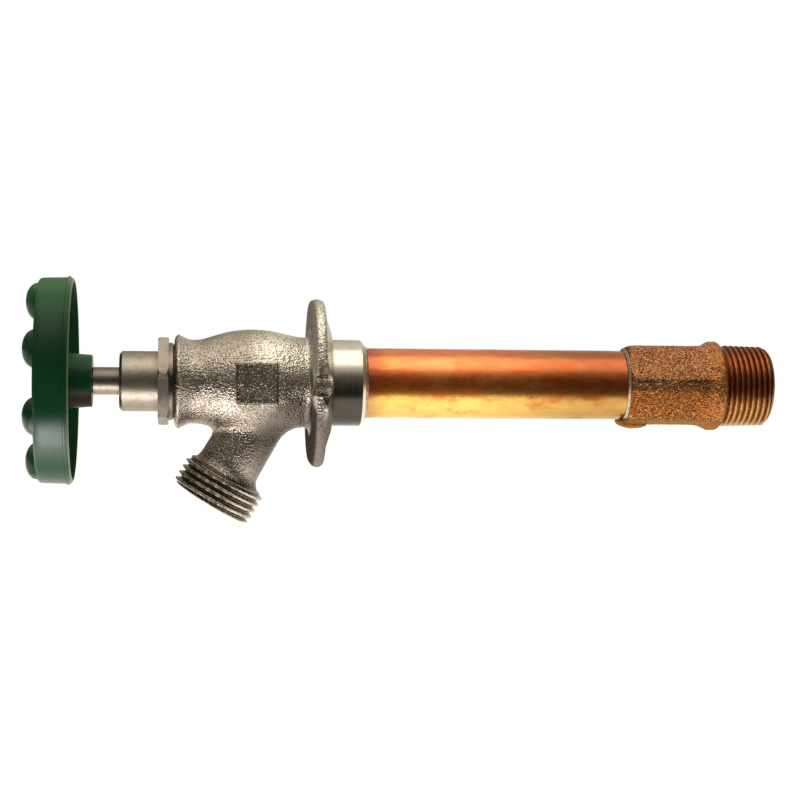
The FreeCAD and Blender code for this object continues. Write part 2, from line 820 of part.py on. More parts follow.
def wheel_window(body):
    """One of the openings between the spokes."""
    sketch = new_sketch(body, "window_outline", "YZ_Plane", (0, 0, d.rim_front_x - 1.0))
    half = math.radians(WINDOW_HALF)
    mid = math.radians(FULL_TURN / DOMES)
    spots = []
    for radius, angle in (
        (d.window_in_r, mid - half),
        (d.window_in_r, mid + half),
        (d.window_out_r, mid + half),
        (d.window_out_r, mid - half),
    ):
        spots.append((radius * math.cos(angle), radius * math.sin(angle)))
    edges = []
    for first, last, radius in ((0, 1, d.window_in_r), (3, 2, d.window_out_r)):
        start, end = vector(spots[first]), vector(spots[last])
        edges.append(sketch.addGeometry(arc_over(FreeCAD.Vector(0, 0, 0), radius.value, start, end), False))
    sides = [
        sketch.addGeometry(Part.LineSegment(vector(spots[1]), vector(spots[2])), False),
        sketch.addGeometry(Part.LineSegment(vector(spots[3]), vector(spots[0])), False),
    ]
    joins = ((edges[0], 2, sides[0], 1), (sides[0], 2, edges[1], 2), (edges[1], 1, sides[1], 1))
    for join in joins + ((sides[1], 2, edges[0], 1),):
        sketch.addConstraint(Sketcher.Constraint("Coincident", *join))
    pin_point(sketch, sides[0], 1, spots[1])
    pin_point(sketch, sides[0], 2, spots[2])
    pin_point(sketch, sides[1], 1, spots[3])
    pin_point(sketch, sides[1], 2, spots[0])
    for edge, radius in zip(edges, (d.window_in_r, d.window_out_r)):
        held = sketch.addConstraint(Sketcher.Constraint("Radius", edge, radius.value))
        sketch.setExpression(f"Constraints[{held}]", radius.text)
    return pocketed(body, "window", sketch, d.web_thick + 3.0, reverse=True)


def handwheel():
    """The cast handwheel, turned to the phase it has when the valve is shut."""
    body = new_body("handwheel")
    lathe(body, "wheel", wheel_outline())
    dome = wheel_dome(body)
    body.Tip = dome
    repeated_round(body, "domes", [dome], DOMES)
    window = wheel_window(body)
    body.Tip = window
    repeated_round(body, "windows", [window], WINDOWS)
    sketch = new_sketch(body, "drive_outline", "YZ_Plane", (0, 0, d.hub_end_x + 1.0))
    half = d.drive_square / 2 + d.drive_gap
    rectangle(sketch, -half, -half, half, half)
    body.Tip = pocketed(body, "drive_hole", sketch, d.hub_end_x - d.recess_floor_x + 3.0)
    turn_about_x(body)


def turn_about_x(body):
    """Turn a piece that shares the handwheel's phase."""
    body.Placement = FreeCAD.Placement(
        FreeCAD.Vector(0, 0, 0), FreeCAD.Rotation(FreeCAD.Vector(1, 0, 0), SIZES["wheel_phase"])
    )
    bind(body, "Placement.Rotation.Angle", d.wheel_phase)


def stem_spindle():
    """The turned stem: square drive, operating thread and the socket for the rod."""
    body = new_body("stem_spindle")
    points = [
        (d.hub_end_x, 0),
        (d.hub_end_x, d.stem_r - 0.3),
        (d.hub_end_x + 0.3, d.stem_r),
        (d.stem_thread_x, d.stem_r),
        (d.stem_thread_x, d.stem_thread_r),
        (d.stem_thread_end_x, d.stem_thread_r),
        (d.stem_thread_end_x, d.tail_r),
        (d.tail_end_x, d.tail_r),
        (d.tail_end_x, 0),
    ]
    lathe(body, "turned_outside", points)
    sketch = new_sketch(body, "drive_outline", "YZ_Plane", (0, 0, d.hub_end_x + 0.5))
    half = d.drive_square / 2
    rectangle(sketch, -half, -half, half, half)
    padded(body, "drive", sketch, d.hub_end_x - d.spindle_front_x + 0.5, reverse=True)
    rod_socket = drum(d.rod_front_x, d.tail_end_x + 1.0, d.rod_r + 0.03)
    lathe(body, "rod_socket", rod_socket, cut=True)
    tapped = drum(d.spindle_front_x - 1.0, d.handle_screw_end_x + 1.0, d.handle_screw_r + 0.03)
    lathe(body, "tapped_hole", tapped, cut=True)
    cross = new_sketch(body, "pin_hole_outline", "XY_Plane", (0, 0, as_size(8.0)))
    circle(cross, (d.pin_x, 0), d.pin_r + 0.02)
    body.Tip = pocketed(body, "pin_hole", cross, as_size(16.0))
    ring_grooves(
        body, "stem_thread", d.stem_groove_x, d.stem_depth, d.stem_thread_r, d.stem_pitch, STEM_GROOVES
    )
    turn_about_x(body)


def operating_rod():
    """The long rod, cross-drilled for its pin and grooved for the swivel clip."""
    body = new_body("operating_rod")
    points = [
        (d.rod_front_x + 0.2, 0),
        (d.rod_front_x + 0.2, d.rod_r),
        (d.rod_end_x - 0.5, d.rod_r),
        (d.rod_end_x, d.rod_r - 0.5),
        (d.rod_end_x, 0),
    ]
    lathe(body, "rod", points)
    clip_front = d.clip_x - d.clip_width / 2 - 0.05
    groove = ring(clip_front, clip_front + d.clip_width + 0.1, d.clip_in_r - 0.02, d.rod_r + 0.5)
    lathe(body, "clip_groove", groove, cut=True)
    cross = new_sketch(body, "pin_hole_outline", "XY_Plane", (0, 0, as_size(8.0)))
    circle(cross, (d.pin_x, 0), d.pin_r + 0.02)
    body.Tip = pocketed(body, "pin_hole", cross, as_size(16.0))
    turn_about_x(body)


def rod_pin():
    """The roll pin through spindle and rod."""
    body = new_body("rod_pin")
    length = (d.tail_r - 0.15) * 2
    sketch = new_sketch(body, "pin_outline", "XY_Plane", (0, 0, -(length / 2)))
    circle(sketch, (d.pin_x, 0), d.pin_r)
    circle(sketch, (d.pin_x, 0), d.pin_r / 2)
    padded(body, "pin", sketch, length)
    turn_about_x(body)


def thrust_washer():
    """The low-friction washer in front of the stem's thread."""
    body = new_body("thrust_washer")
    front = d.stem_thread_x - d.thrust_thick
    lathe(body, "washer", ring(front, d.stem_thread_x, d.stem_r + 0.05, d.stem_thread_r - 0.1))


def handle_washer():
    """The washer under the handle screw's head."""
    body = new_body("handle_washer")
    front = d.recess_floor_x - d.handle_washer_thick
    lathe(body, "washer", ring(front, d.recess_floor_x, d.handle_screw_r + 0.2, d.handle_washer_r))


def handle_screw():
    """The domed screw with a cross recess that holds the handwheel."""
    body = new_body("handle_screw")
    seat = d.recess_floor_x - d.handle_washer_thick
    top = seat - d.handle_screw_head
    points = [
        (top, 0),
        (top, d.handle_screw_head_r - 1.4),
        (top + 0.8, d.handle_screw_head_r - 0.3),
        (seat - 0.6, d.handle_screw_head_r),
        (seat, d.handle_screw_head_r),
        (seat, d.handle_screw_r),
        (d.handle_screw_end_x - 0.8, d.handle_screw_r),
        (d.handle_screw_end_x, d.handle_screw_r - 0.8),
        (d.handle_screw_end_x, 0),
    ]
    lathe(body, "screw", points)
    for name, long_y in (("slot_level", True), ("slot_upright", False)):
        sketch = new_sketch(body, name + "_outline", "YZ_Plane", (0, 0, top - 1.0))
        across, along = d.cross_half, d.cross_reach
        if long_y:
            rectangle(sketch, -along, -across, along, across)
        else:
            rectangle(sketch, -across, -along, across, along)
        body.Tip = pocketed(body, name, sketch, d.cross_depth + 1.0, reverse=True)
    turn_about_x(body)


def winged(body, name, front, length, hub_r, reach, thick):
    """A pair of crossing blades, which gives four wings round the X axis."""
    for index, long_y in enumerate((True, False), start=1):
        sketch = new_sketch(body, f"{name}_{index}_outline", "YZ_Plane", (0, 0, front))
        if long_y:
            rectangle(sketch, -reach, -thick / 2, reach, thick / 2)
        else:
            rectangle(sketch, -thick / 2, -reach, thick / 2, reach)
        padded(body, f"{name}_{index}", sketch, length)
    lathe(body, f"{name}_trim", ring(front - 1.0, front + length + 1.0, reach, reach + 4.0), cut=True)


def stem_guide():
    """The plastic star that keeps the rod central in the tube."""
    body = new_body("stem_guide")
    lathe(body, "hub", drum(d.guide_x, d.guide_x + d.guide_length, d.guide_hub_r))
    winged(body, "wing", d.guide_x + 1.0, d.guide_length - 2.0, d.guide_hub_r, d.guide_r, d.guide_wing)
    bore = drum(d.guide_x - 1.0, d.guide_x + d.guide_length + 1.0, d.rod_r + 0.03)
    lathe(body, "bore", bore, cut=True)


def swivel_clip():
    """The open snap ring between rod and disc holder."""
    body = new_body("swivel_clip")
    front = d.clip_x - d.clip_width / 2
    lathe(body, "ring", ring(front, front + d.clip_width, d.clip_in_r, d.clip_out_r))
    sketch = new_sketch(body, "gap_outline", "YZ_Plane", (0, 0, front - 1.0))
    rectangle(sketch, -1.0, 0, 1.0, d.clip_out_r + 1.0)
    body.Tip = pocketed(body, "gap", sketch, d.clip_width + 2.0, reverse=True)


# Pieces that slide without turning


def disc_holder():
    """The winged holder that carries the seat washer and slides in the inlet."""
    body = new_body("disc_holder")
    points = [
        (d.holder_front_x, 0),
        (d.holder_front_x, d.holder_r - 1.6),
        (d.holder_front_x + 1.2, d.holder_r - 0.4),
        (d.wing_front_x, d.holder_r),
        (d.holder_rim_x, d.holder_r),
        (d.holder_rim_x, d.seat_washer_r + 0.03),
        (d.washer_floor_x, d.seat_washer_r + 0.03),
        (d.washer_floor_x, 0),
    ]
    lathe(body, "holder", points)
    length = d.wing_back_x - d.wing_front_x
    winged(body, "wing", d.wing_front_x, length, d.holder_r, d.wing_r, d.wing_thick)
    clip_front = d.clip_x - d.clip_width / 2 - 0.08
    socket = [
        (d.holder_front_x - 1.0, 0),
        (d.holder_front_x - 1.0, d.socket_r),
        (clip_front, d.socket_r),
        (clip_front, d.clip_out_r + 0.08),
        (clip_front + d.clip_width + 0.16, d.clip_out_r + 0.08),
        (clip_front + d.clip_width + 0.16, d.socket_r),
        (d.socket_end_x - 0.35, d.socket_r),
        (d.socket_end_x - 0.35, 0),
    ]
    lathe(body, "rod_socket", socket, cut=True)
    tapped = drum(d.socket_end_x + 0.4, d.washer_floor_x + 1.0, d.screw_r + 0.03)
    lathe(body, "tapped_hole", tapped, cut=True)


def seat_washer():
    """The rubber disc that closes on the seat."""
    body = new_body("seat_washer")
    lathe(body, "washer", ring(d.washer_floor_x, d.seat_x, d.screw_r + 0.1, d.seat_washer_r))


def retainer_washer():
    """The metal washer over the rubber disc."""
    body = new_body("retainer_washer")
    points = ring(d.seat_x, d.seat_x + d.retainer_thick, d.screw_r + 0.1, d.retainer_r)
    lathe(body, "washer", points)


def washer_screw():
    """The slotted screw that holds disc and washer to the holder."""
    body = new_body("washer_screw")
    head = d.seat_x + d.retainer_thick
    top = head + d.screw_head_thick
    points = [
        (d.socket_end_x + 0.8, 0),
        (d.socket_end_x + 0.8, d.screw_r - 0.4),
        (d.socket_end_x + 1.2, d.screw_r),
        (head, d.screw_r),
        (head, d.screw_head_r),
        (top - 0.7, d.screw_head_r),
        (top, d.screw_head_r - 0.9),
        (top, 0),
    ]
    lathe(body, "screw", points)
    sketch = new_sketch(body, "slot_outline", "YZ_Plane", (0, 0, top + 1.0))
    reach = d.screw_head_r + 1.0
    rectangle(sketch, -reach, -d.screw_slot_half, reach, d.screw_slot_half)
    body.Tip = pocketed(body, "slot", sketch, d.screw_slot_depth + 1.0)


def build_all():
    """Make every sub-part in the document."""
    write_sheet()
    valve_body()
    bonnet()
    bonnet_gasket()
    copper_tube()
    solder_ring("front_solder_ring", d.collar_end_x, d.collar_end_x + d.solder_width)
    solder_ring("rear_solder_ring", d.inlet_front_x, d.inlet_front_x - d.solder_width)
    inlet_adapter()
    handwheel()
    stem_spindle()
    operating_rod()
    rod_pin()
    stem_o_rings()
    thrust_washer()
    handle_washer()
    handle_screw()
    stem_guide()
    swivel_clip()
    disc_holder()
    seat_washer()
    retainer_washer()
    washer_screw()
    doc.recompute()


def check_document():
    """Stop if any object failed or any sub-part has no valid shape."""
    for item in doc.Objects:
        if "Invalid" in item.State or "Error" in item.State:
            raise RuntimeError(f"{item.Label} failed: {item.State}")
    for item in subparts():
        if item.Shape.isNull() or not item.Shape.isValid():
            raise RuntimeError(f"{item.Label} has no valid shape")


def subparts():
    """The objects that become files."""
    bodies = doc.findObjects("PartDesign::Body")
    return bodies + doc.findObjects("Part::Compound")


def export_all():
    """Write one STEP file for each sub-part."""
    os.makedirs("parts", exist_ok=True)
    for item in subparts():
        item.Shape.exportStep(f"parts/{item.Label}.step")


build_all()
check_document()
export_all()
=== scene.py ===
"""Looks of the hose bib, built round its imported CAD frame.

Lengths are in millimetres until a mesh is made, except on the stage, which is in metres.
X runs along the tube from the handwheel to the inlet, and Z is up.
"""

import math

import bpy
import numpy as np
import openvdb
from mathutils import Matrix, Vector


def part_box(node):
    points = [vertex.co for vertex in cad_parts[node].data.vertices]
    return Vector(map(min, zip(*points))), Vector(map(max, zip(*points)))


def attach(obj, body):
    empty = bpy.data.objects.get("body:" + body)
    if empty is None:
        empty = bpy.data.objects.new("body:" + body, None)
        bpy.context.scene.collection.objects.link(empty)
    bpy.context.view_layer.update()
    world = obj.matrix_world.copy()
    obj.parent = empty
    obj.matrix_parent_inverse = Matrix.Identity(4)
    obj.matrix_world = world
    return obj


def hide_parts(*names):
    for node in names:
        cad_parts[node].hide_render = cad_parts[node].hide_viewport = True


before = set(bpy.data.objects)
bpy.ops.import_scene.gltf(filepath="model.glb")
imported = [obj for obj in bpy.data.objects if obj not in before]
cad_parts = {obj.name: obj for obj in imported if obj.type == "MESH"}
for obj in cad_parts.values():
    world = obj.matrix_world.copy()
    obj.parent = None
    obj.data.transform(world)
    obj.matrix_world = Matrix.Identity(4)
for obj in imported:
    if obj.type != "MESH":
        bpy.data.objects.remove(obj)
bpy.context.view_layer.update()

MM = 0.001
FULL_TURN = 2 * math.pi
# How far from the surface a field is kept
BAND = 3.0


def ends(node, axis=0):
    """Where a CAD node starts and ends along an axis."""
    return [round(corner[axis] / MM, 3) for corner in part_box(node)]


# Where the main pieces lie along X, from the CAD and within it
BODY_FRONT, COLLAR_END = ends("valve_body")
TUBE_FRONT, TUBE_END = ends("copper_tube")
INLET_FRONT, INLET_END = ends("inlet_adapter")
HUB_END = ends("handwheel")[1]
WHEEL_FRONT, WEB_BACK, WHEEL_BACK = -91.0, -87.5, -80.4
FLANGE_MIDDLE, RING_FRONT, NPT_FRONT = -4.5, 122.9, 127.1

# Tube and inlet
TUBE_R, TUBE_BORE_R = 11.1125, 9.97
SEAT_START = 113.6
INLET_HEX, HEX_TURN = 12.2, math.radians(9.0)
NPT_R, NPT_DEPTH, NPT_PITCH, NPT_TAPER = 12.15, 1.1, 1.814, 0.03125
INLET_BORE_R = 7.96

# Spout: its tilt, the foot of its hose thread in X and Z, and how far its neck is off the thread's axis
SPOUT_ANGLE = math.radians(30.7)
SPOUT_FOOT = (-32.74, -30.09)
SPOUT_SIDE = -0.95
SPOUT_BORE_R = 7.9
HOSE_R, HOSE_DEPTH, HOSE_PITCH, HOSE_END = 13.5, 1.43, 2.209, 9.4

# Flange: half its width, height and thickness, its corners, and the cone that joins it to the collar
FLANGE_WIDE = ends("valve_body", axis=1)[1]
FLANGE_TALL, FLANGE_THICK, FLANGE_CORNER = 26.4, 2.0, 21.0
CONE_R, CONE_SLOPE, CONE_REACH = 16.4, 0.345, 25.0
EAR_PLACE, EAR_SIZE = (-4.6, 23.0, -0.4), (2.5, 5.0, 9.0)

# The open screw slots: middle, half their length and width, and the scooped mouth of each
SLOT_CENTRE, SLOT_LONG, SLOT_WIDE = 29.4, 12.2, 3.2
SLOT_MOUTH_PLACE, SLOT_MOUTH, SLOT_SLANT = (-1.4, 27.2, -0.6), (3.4, 6.2, 7.2), 0.2

# The square panel on the body's side: its middle, its face and half its width
PANEL_X, PANEL_Y, PANEL_Z, PANEL_HALF = -23.6, -16.95, 0.2, 6.3

# Handwheel: where its first dome is, its domes, windows and bores
WHEEL_PHASE = math.radians(21.6)
DOMES, DOME_CIRCLE_R, DOME_R, DOME_HEIGHT, DOME_POWER = 8, 26.5, 5.95, 4.45, 2.2
WINDOWS, WINDOW_CIRCLE_R, WINDOW_HALF = 4, 16.1, 4.5
WINDOW_ANGLE = math.radians(29)
HUB_FRONT_R, HUB_BACK_R, SCREW_RECESS_R, STEM_HOLE_R = 9.1, 8.15, 5.8, 3.3

# Camera, as fitted to the photograph: place, yaw, pitch and roll in degrees, and lens
CAMERA_PLACE = (-46.57, -596.38, 25.07)
CAMERA_TURN = (6.611, -2.899, 0.745)
CAMERA_LENS, CAMERA_SENSOR = 84.585, 36.0

# Surround: the heights of direction where the overhead glow starts and ends, and its strengths
SKY_RISE = (0.28, 0.82, 0.11, 0.80)
# The same for the glow behind the object, by its depth and by its side
BACK_RISE, BACK_SIDE = (0.55, 0.95, 0.15, 0.90), (-0.15, 0.25, 0.25, 1.0)
SKY_COLOUR = (1.0, 0.93, 0.80, 1)


# Fields: signed distances sampled on a grid, negative inside


class Grid:
    """Evenly spaced sample points of a box."""

    def __init__(self, low, high, step):
        self.low = np.array(low)
        self.step = step
        spans = [np.arange(a, b + step, step, dtype=np.float32) for a, b in zip(low, high)]
        self.x = spans[0][:, None, None]
        self.y = spans[1][None, :, None]
        self.z = spans[2][None, None, :]

    def radius(self):
        """Distance from the X axis."""
        return np.hypot(self.y, self.z)


def polygon_field(points, u, v):
    """Signed distance in a plane from (u, v) to a closed polygon."""
    nearest = np.full(np.broadcast(u, v).shape, np.inf, np.float32)
    inside = np.zeros(nearest.shape, bool)
    for (ax, ay), (bx, by) in zip(points, points[1:] + points[:1]):
        ex, ey = bx - ax, by - ay
        along = np.clip(((u - ax) * ex + (v - ay) * ey) / (ex * ex + ey * ey), 0, 1)
        nearest = np.minimum(nearest, (u - ax - ex * along) ** 2 + (v - ay - ey * along) ** 2)
        if ay != by:
            level = (ay > v) != (by > v)
            inside ^= level & (u < ex * (v - ay) / ey + ax)
    return np.where(inside, -1, 1) * np.sqrt(nearest)


def turned_field(outline, axial, radial):
    """Field of a turned shape from its (axial, radial) outline, read from a fine table.

    Outline points on the axis are moved past it, so that the axis itself lies inside.
    """
    fine = 0.1
    u0, u1 = float(axial.min()), float(axial.max())
    us = np.arange(u0 - fine, u1 + 2 * fine, fine, dtype=np.float32)
    vs = np.arange(0, float(radial.max()) + 2 * fine, fine, dtype=np.float32)
    closed = [(u, v if v > 0 else -BAND * 4) for u, v in outline]
    table = polygon_field(closed, us[:, None], vs[None, :]).astype(np.float32)
    iu, iv = np.broadcast_arrays((axial - us[0]) / fine, radial / fine)
    nu, nv = iu.astype(np.int32), iv.astype(np.int32)
    fu, fv = iu - nu, iv - nv
    low = table[nu, nv] * (1 - fv) + table[nu, nv + 1] * fv
    high = table[nu + 1, nv] * (1 - fv) + table[nu + 1, nv + 1] * fv
    return low * (1 - fu) + high * fu


def join(a, b, soft):
    """Union with a fillet."""
    h = np.clip(0.5 + 0.5 * (b - a) / soft, 0, 1)
    return b * (1 - h) + a * h - soft * h * (1 - h)


def cut(a, b, soft):
    """a without b, with a rounded rim."""
    return -join(-a, b, soft)


def overlap(a, b, soft):
    """What a and b share, with a rounded edge."""
    return -join(-a, -b, soft)


def rounded_box(u, v, half_u, half_v, corner):
    """Signed distance in a plane to a rectangle with round corners."""
    du, dv = np.abs(u) - half_u + corner, np.abs(v) - half_v + corner
    outside = np.hypot(np.maximum(du, 0), np.maximum(dv, 0))
    return outside + np.minimum(np.maximum(du, dv), 0) - corner


def smooth_curve(points, spans=6):
    """A smooth line through points."""
    points = [np.array(p, float) for p in points]
    padded = [2 * points[0] - points[1]] + points + [2 * points[-1] - points[-2]]
    line = []
    for a, b, c, e in zip(padded, padded[1:], padded[2:], padded[3:]):
        for t in np.arange(spans) / spans:
            bend, twist = 2 * a - 5 * b + 4 * c - e, 3 * b - a - 3 * c + e
            line.append(0.5 * (2 * b + (c - a) * t + bend * t**2 + twist * t**3))
    line.append(points[-1])
    return [tuple(p) for p in line]


# Meshes


def new_piece(name, vertices, faces, sharp_degrees=None):
    """A mesh object from vertices in metres, shaded smooth."""
    mesh = bpy.data.meshes.new(name)
    mesh.from_pydata(vertices, [], faces)
    mesh.validate()
    mesh.shade_smooth()
    if sharp_degrees:
        mesh.set_sharp_from_angle(angle=math.radians(sharp_degrees))
    piece = bpy.data.objects.new(name, mesh)
    bpy.context.scene.collection.objects.link(piece)
    return piece


def mesh_field(name, grid, field):
    """The surface where a field is zero, as a piece."""
    volume = openvdb.FloatGrid(BAND)
    volume.copyFromArray(np.clip(field, -BAND, BAND).astype(np.float32))
    volume.transform = openvdb.createLinearTransform(voxelSize=grid.step)
    points, quads = volume.convertToQuads()
    points = (points + grid.low) * MM
    outward = quads[:, ::-1]
    return new_piece(name, points.tolist(), outward.tolist())


def rounded(outline, radius, steps=4):
    """An outline whose corners are rounded by short arcs."""
    points = [np.array(p, float) for p in outline]
    line = []
    for before, corner, after in zip(points[-1:] + points[:-1], points, points[1:] + points[:1]):
        to_before, to_after = before - corner, after - corner
        reach = min(radius, np.linalg.norm(to_before) / 2.2, np.linalg.norm(to_after) / 2.2)
        start = corner + to_before / np.linalg.norm(to_before) * reach
        end = corner + to_after / np.linalg.norm(to_after) * reach
        for t in np.linspace(0, 1, steps):
            line.append(tuple(start * (1 - t) ** 2 + corner * 2 * t * (1 - t) + end * t**2))
    return line


def axis_frame(origin=(0, 0, 0), along=(1, 0, 0), up=(0, 0, 1)):
    """Rows of a frame whose first direction is the turning axis."""
    a = np.array(along, float)
    c = np.array(up, float)
    b = np.cross(c, a)
    return np.array(origin, float), np.array([a, b / np.linalg.norm(b), c])


def spin(name, rows, place, sharp_degrees=None):
    """A closed turned mesh. Each row is (axial position, radius at each step round)."""
    origin, directions = place
    count = len(rows[0][1])
    angle = np.arange(count) * FULL_TURN / count
    vertices = []
    for axial, radii in rows:
        local = np.stack([np.broadcast_to(axial, count), radii * np.cos(angle), radii * np.sin(angle)], 1)
        vertices.append((local @ directions + origin) * MM)
    faces = []
    for row in range(len(rows)):
        start, after = row * count, (row + 1) % len(rows) * count
        for step in range(count):
            side = (step + 1) % count
            faces.append((start + step, after + step, after + side, start + side))
    return new_piece(name, np.concatenate(vertices).tolist(), faces, sharp_degrees)


def lathe(name, outline, place, count=160, wobble=None, sharp_degrees=None):
    """A turned piece from a closed outline that stays off the axis."""
    angle = np.arange(count) * FULL_TURN / count
    rows = []
    for axial, radius in outline:
        extra = wobble(axial, angle) if wobble else 0
        rows.append((axial, np.full(count, radius) + extra))
    return spin(name, rows, place, sharp_degrees)


def thread_rows(start, end, root, depth, pitch, count, taper=0.0, fade=1.0, step=0.09):
    """Rows of a helical thread between two axial positions."""
    root_flat, flank, cut_end = 0.12, 0.62, 0.75
    part = np.arange(count) / count
    rows = []
    for axial in np.arange(start, end, step):
        place = np.abs(2 * (((axial - start) / pitch - part) % 1.0) - 1)
        height = np.clip((place - root_flat) / flank, 0, 1)
        run_in = np.clip((axial - start) / fade, 0, 1) * np.clip((end - axial) / fade + cut_end, 0, 1)
        rows.append((axial, root - taper * (axial - start) + depth * height * run_in))
    return rows


def round_rows(outline, count):
    """Rows of a turned mesh from (axial position, radius) pairs."""
    return [(axial, np.full(count, radius)) for axial, radius in outline]


# Pieces


def spout_coordinates(grid):
    """Distance down the spout and from its thread's axis, and from its offset neck's axis."""
    down = np.array([-math.sin(SPOUT_ANGLE), -math.cos(SPOUT_ANGLE)])
    side = np.array([math.cos(SPOUT_ANGLE), -math.sin(SPOUT_ANGLE)])
    dx, dz = grid.x - SPOUT_FOOT[0], grid.z - SPOUT_FOOT[1]
    along = dx * down[0] + dz * down[1]
    across = dx * side[0] + dz * side[1]
    return along, np.hypot(across, grid.y), np.hypot(across - SPOUT_SIDE, grid.y)


def core_field(grid):
    """Lip, waist, bulge and neck of the body casting."""
    line = [
        (BODY_FRONT, 12.6),
        (-49.0, 13.7),
        (-48.0, 14.85),
        (-46.6, 14.2),
        (-44.2, 13.3),
        (-41.6, 13.3),
        (-39.5, 13.75),
        (-35.5, 14.95),
        (-31.5, 16.0),
        (-27.0, 16.55),
        (-23.5, 16.6),
        (-19.4, 16.3),
        (-15.4, 15.5),
        (-12.0, 14.75),
        (-8.0, 14.2),
        (-4.0, 14.1),
    ]
    outline = smooth_curve(line) + [(-3.0, 0), (BODY_FRONT, 0)]
    return turned_field(outline, grid.x, grid.radius())


def spout_field(grid):
    """The spout's neck and the shoulder under the hose thread."""
    along, from_axis, from_neck = spout_coordinates(grid)
    neck = turned_field([(-34, 0), (-34, 9.5), (-20, 9.4), (-6, 9.75), (-1, 9.9), (-1, 0)], along, from_neck)
    shoulder = [(-3.2, 0), (-3.2, 8.6), (-1.9, 10.1), (-0.6, 11.5), (0.1, 12.6), (0.6, 12.6), (0.6, 0)]
    return join(neck, turned_field(shoulder, along, from_axis), 1.6)


def ellipsoid(u, v, w, radii):
    """Rough distance to an ellipsoid about the origin."""
    scaled = np.sqrt((u / radii[0]) ** 2 + (v / radii[1]) ** 2 + (w / radii[2]) ** 2)
    return (scaled - 1) * min(radii)


def flange_field(grid):
    """The round-cornered wall flange with its ears and open screw slots."""
    plate = rounded_box(grid.y, grid.z, FLANGE_WIDE, FLANGE_TALL, FLANGE_CORNER)
    off_line = np.abs(grid.x - FLANGE_MIDDLE)
    parting_line = 0.06 * np.exp(-((off_line / 0.5) ** 2))
    edge = plate + 0.04 * off_line - parting_line
    field = overlap(edge, off_line - FLANGE_THICK, 1.9)
    radial = grid.radius()
    cone = grid.x + np.maximum(radial - CONE_R, 0) * CONE_SLOPE
    cone = np.maximum(np.maximum(FLANGE_MIDDLE + 0.5 - grid.x, cone), radial - CONE_REACH)
    field = join(field, cone, 1.2)
    side = np.abs(grid.y)
    ear_x, ear_y, ear_z = EAR_PLACE
    ear = ellipsoid(grid.x - ear_x, side - ear_y, grid.z - ear_z, EAR_SIZE)
    field = join(field, np.maximum(ear, plate + 0.3), 1.6)
    throat = rounded_box(side - SLOT_CENTRE, grid.z, SLOT_LONG, SLOT_WIDE, SLOT_WIDE)
    field = cut(field, throat, 0.8)
    mouth_x, mouth_y, mouth_z = SLOT_MOUTH_PLACE
    rise = grid.z - mouth_z
    mouth = ellipsoid(grid.x - mouth_x + SLOT_SLANT * rise, side - mouth_y, rise, SLOT_MOUTH)
    return cut(field, mouth, 0.7)


def body_casting():
    """The sand-cast body, hollow inside."""
    grid = Grid((-50.0, -27.6, -43.0), (1.0, 27.6, 27.6), 0.34)
    field = join(core_field(grid), spout_field(grid), 3.2)
    field = join(field, flange_field(grid), 2.6)
    panel = rounded_box(grid.x - PANEL_X, grid.z - PANEL_Z, PANEL_HALF, PANEL_HALF, 0.8)
    field = join(field, np.maximum(panel, np.maximum(PANEL_Y - grid.y, grid.y + 12.0)), 0.5)
    waves = np.sin(grid.x * 1.9 + 2.0 * np.sin(grid.z * 0.7)) * np.sin(grid.y * 1.7 + grid.z * 1.3)
    field = field + 0.02 * waves * np.clip((grid.x + 50.0) / 2.0, 0, 1)
    radial = grid.radius()
    down_spout, from_spout = spout_coordinates(grid)[:2]
    chamber = np.maximum(radial - TUBE_BORE_R, grid.x)
    bonnet_hole = np.maximum(radial - 10.75, grid.x + 36.5)
    outlet = np.maximum(from_spout - SPOUT_BORE_R, -down_spout - 32.0)
    socket = np.maximum(radial - 11.2, -grid.x - 2.0)
    for hollow in (np.minimum(chamber, bonnet_hole), outlet, socket):
        field = cut(field, hollow, 0.5)
    return mesh_field("body_casting", grid, field)


def spout_place():
    """The spout's own axes, from the foot of its hose thread."""
    origin = (SPOUT_FOOT[0], 0, SPOUT_FOOT[1])
    return axis_frame(origin, (-math.sin(SPOUT_ANGLE), 0, -math.cos(SPOUT_ANGLE)), (0, 1, 0))


def hose_thread():
    """The spout's machined end with its helical hose thread."""
    count = 192
    root = HOSE_R - HOSE_DEPTH
    start, end = -0.75, HOSE_END - 0.35
    foot = [(start - 0.6, SPOUT_BORE_R), (start - 0.3, root - 0.7)]
    lip = [(end, root + 0.55), (HOSE_END, root + 0.15), (HOSE_END, 8.5), (HOSE_END - 0.6, SPOUT_BORE_R)]
    thread = thread_rows(start, end, root, HOSE_DEPTH, HOSE_PITCH, count)
    rows = round_rows(foot, count) + thread + round_rows(lip, count)
    return spin("hose_thread", rows, spout_place(), sharp_degrees=40)


def collar():
    """The turned collar behind the flange."""
    outer, inner, chamfer = 13.7, 11.2, 1.2
    outline = [(-1.0, inner), (-1.0, outer), (COLLAR_END - chamfer, outer)]
    outline += [(COLLAR_END, outer - chamfer), (COLLAR_END, inner)]
    return lathe("collar", rounded(outline, 0.25), axis_frame())


def copper_tube():
    """The drawn copper barrel."""
    outline = [(TUBE_FRONT, TUBE_BORE_R), (TUBE_FRONT, TUBE_R)]
    outline += [(x, TUBE_R) for x in np.linspace(0, 100, 26)]
    outline += [(TUBE_END, TUBE_R), (TUBE_END, TUBE_BORE_R)]

    def wobble(axial, angle):
        return 0.02 * np.sin(axial * 0.21 + 2 * angle) * (8.0 < axial < 96.0)

    return lathe("copper_barrel", outline, axis_frame(), 200, wobble, sharp_degrees=40)


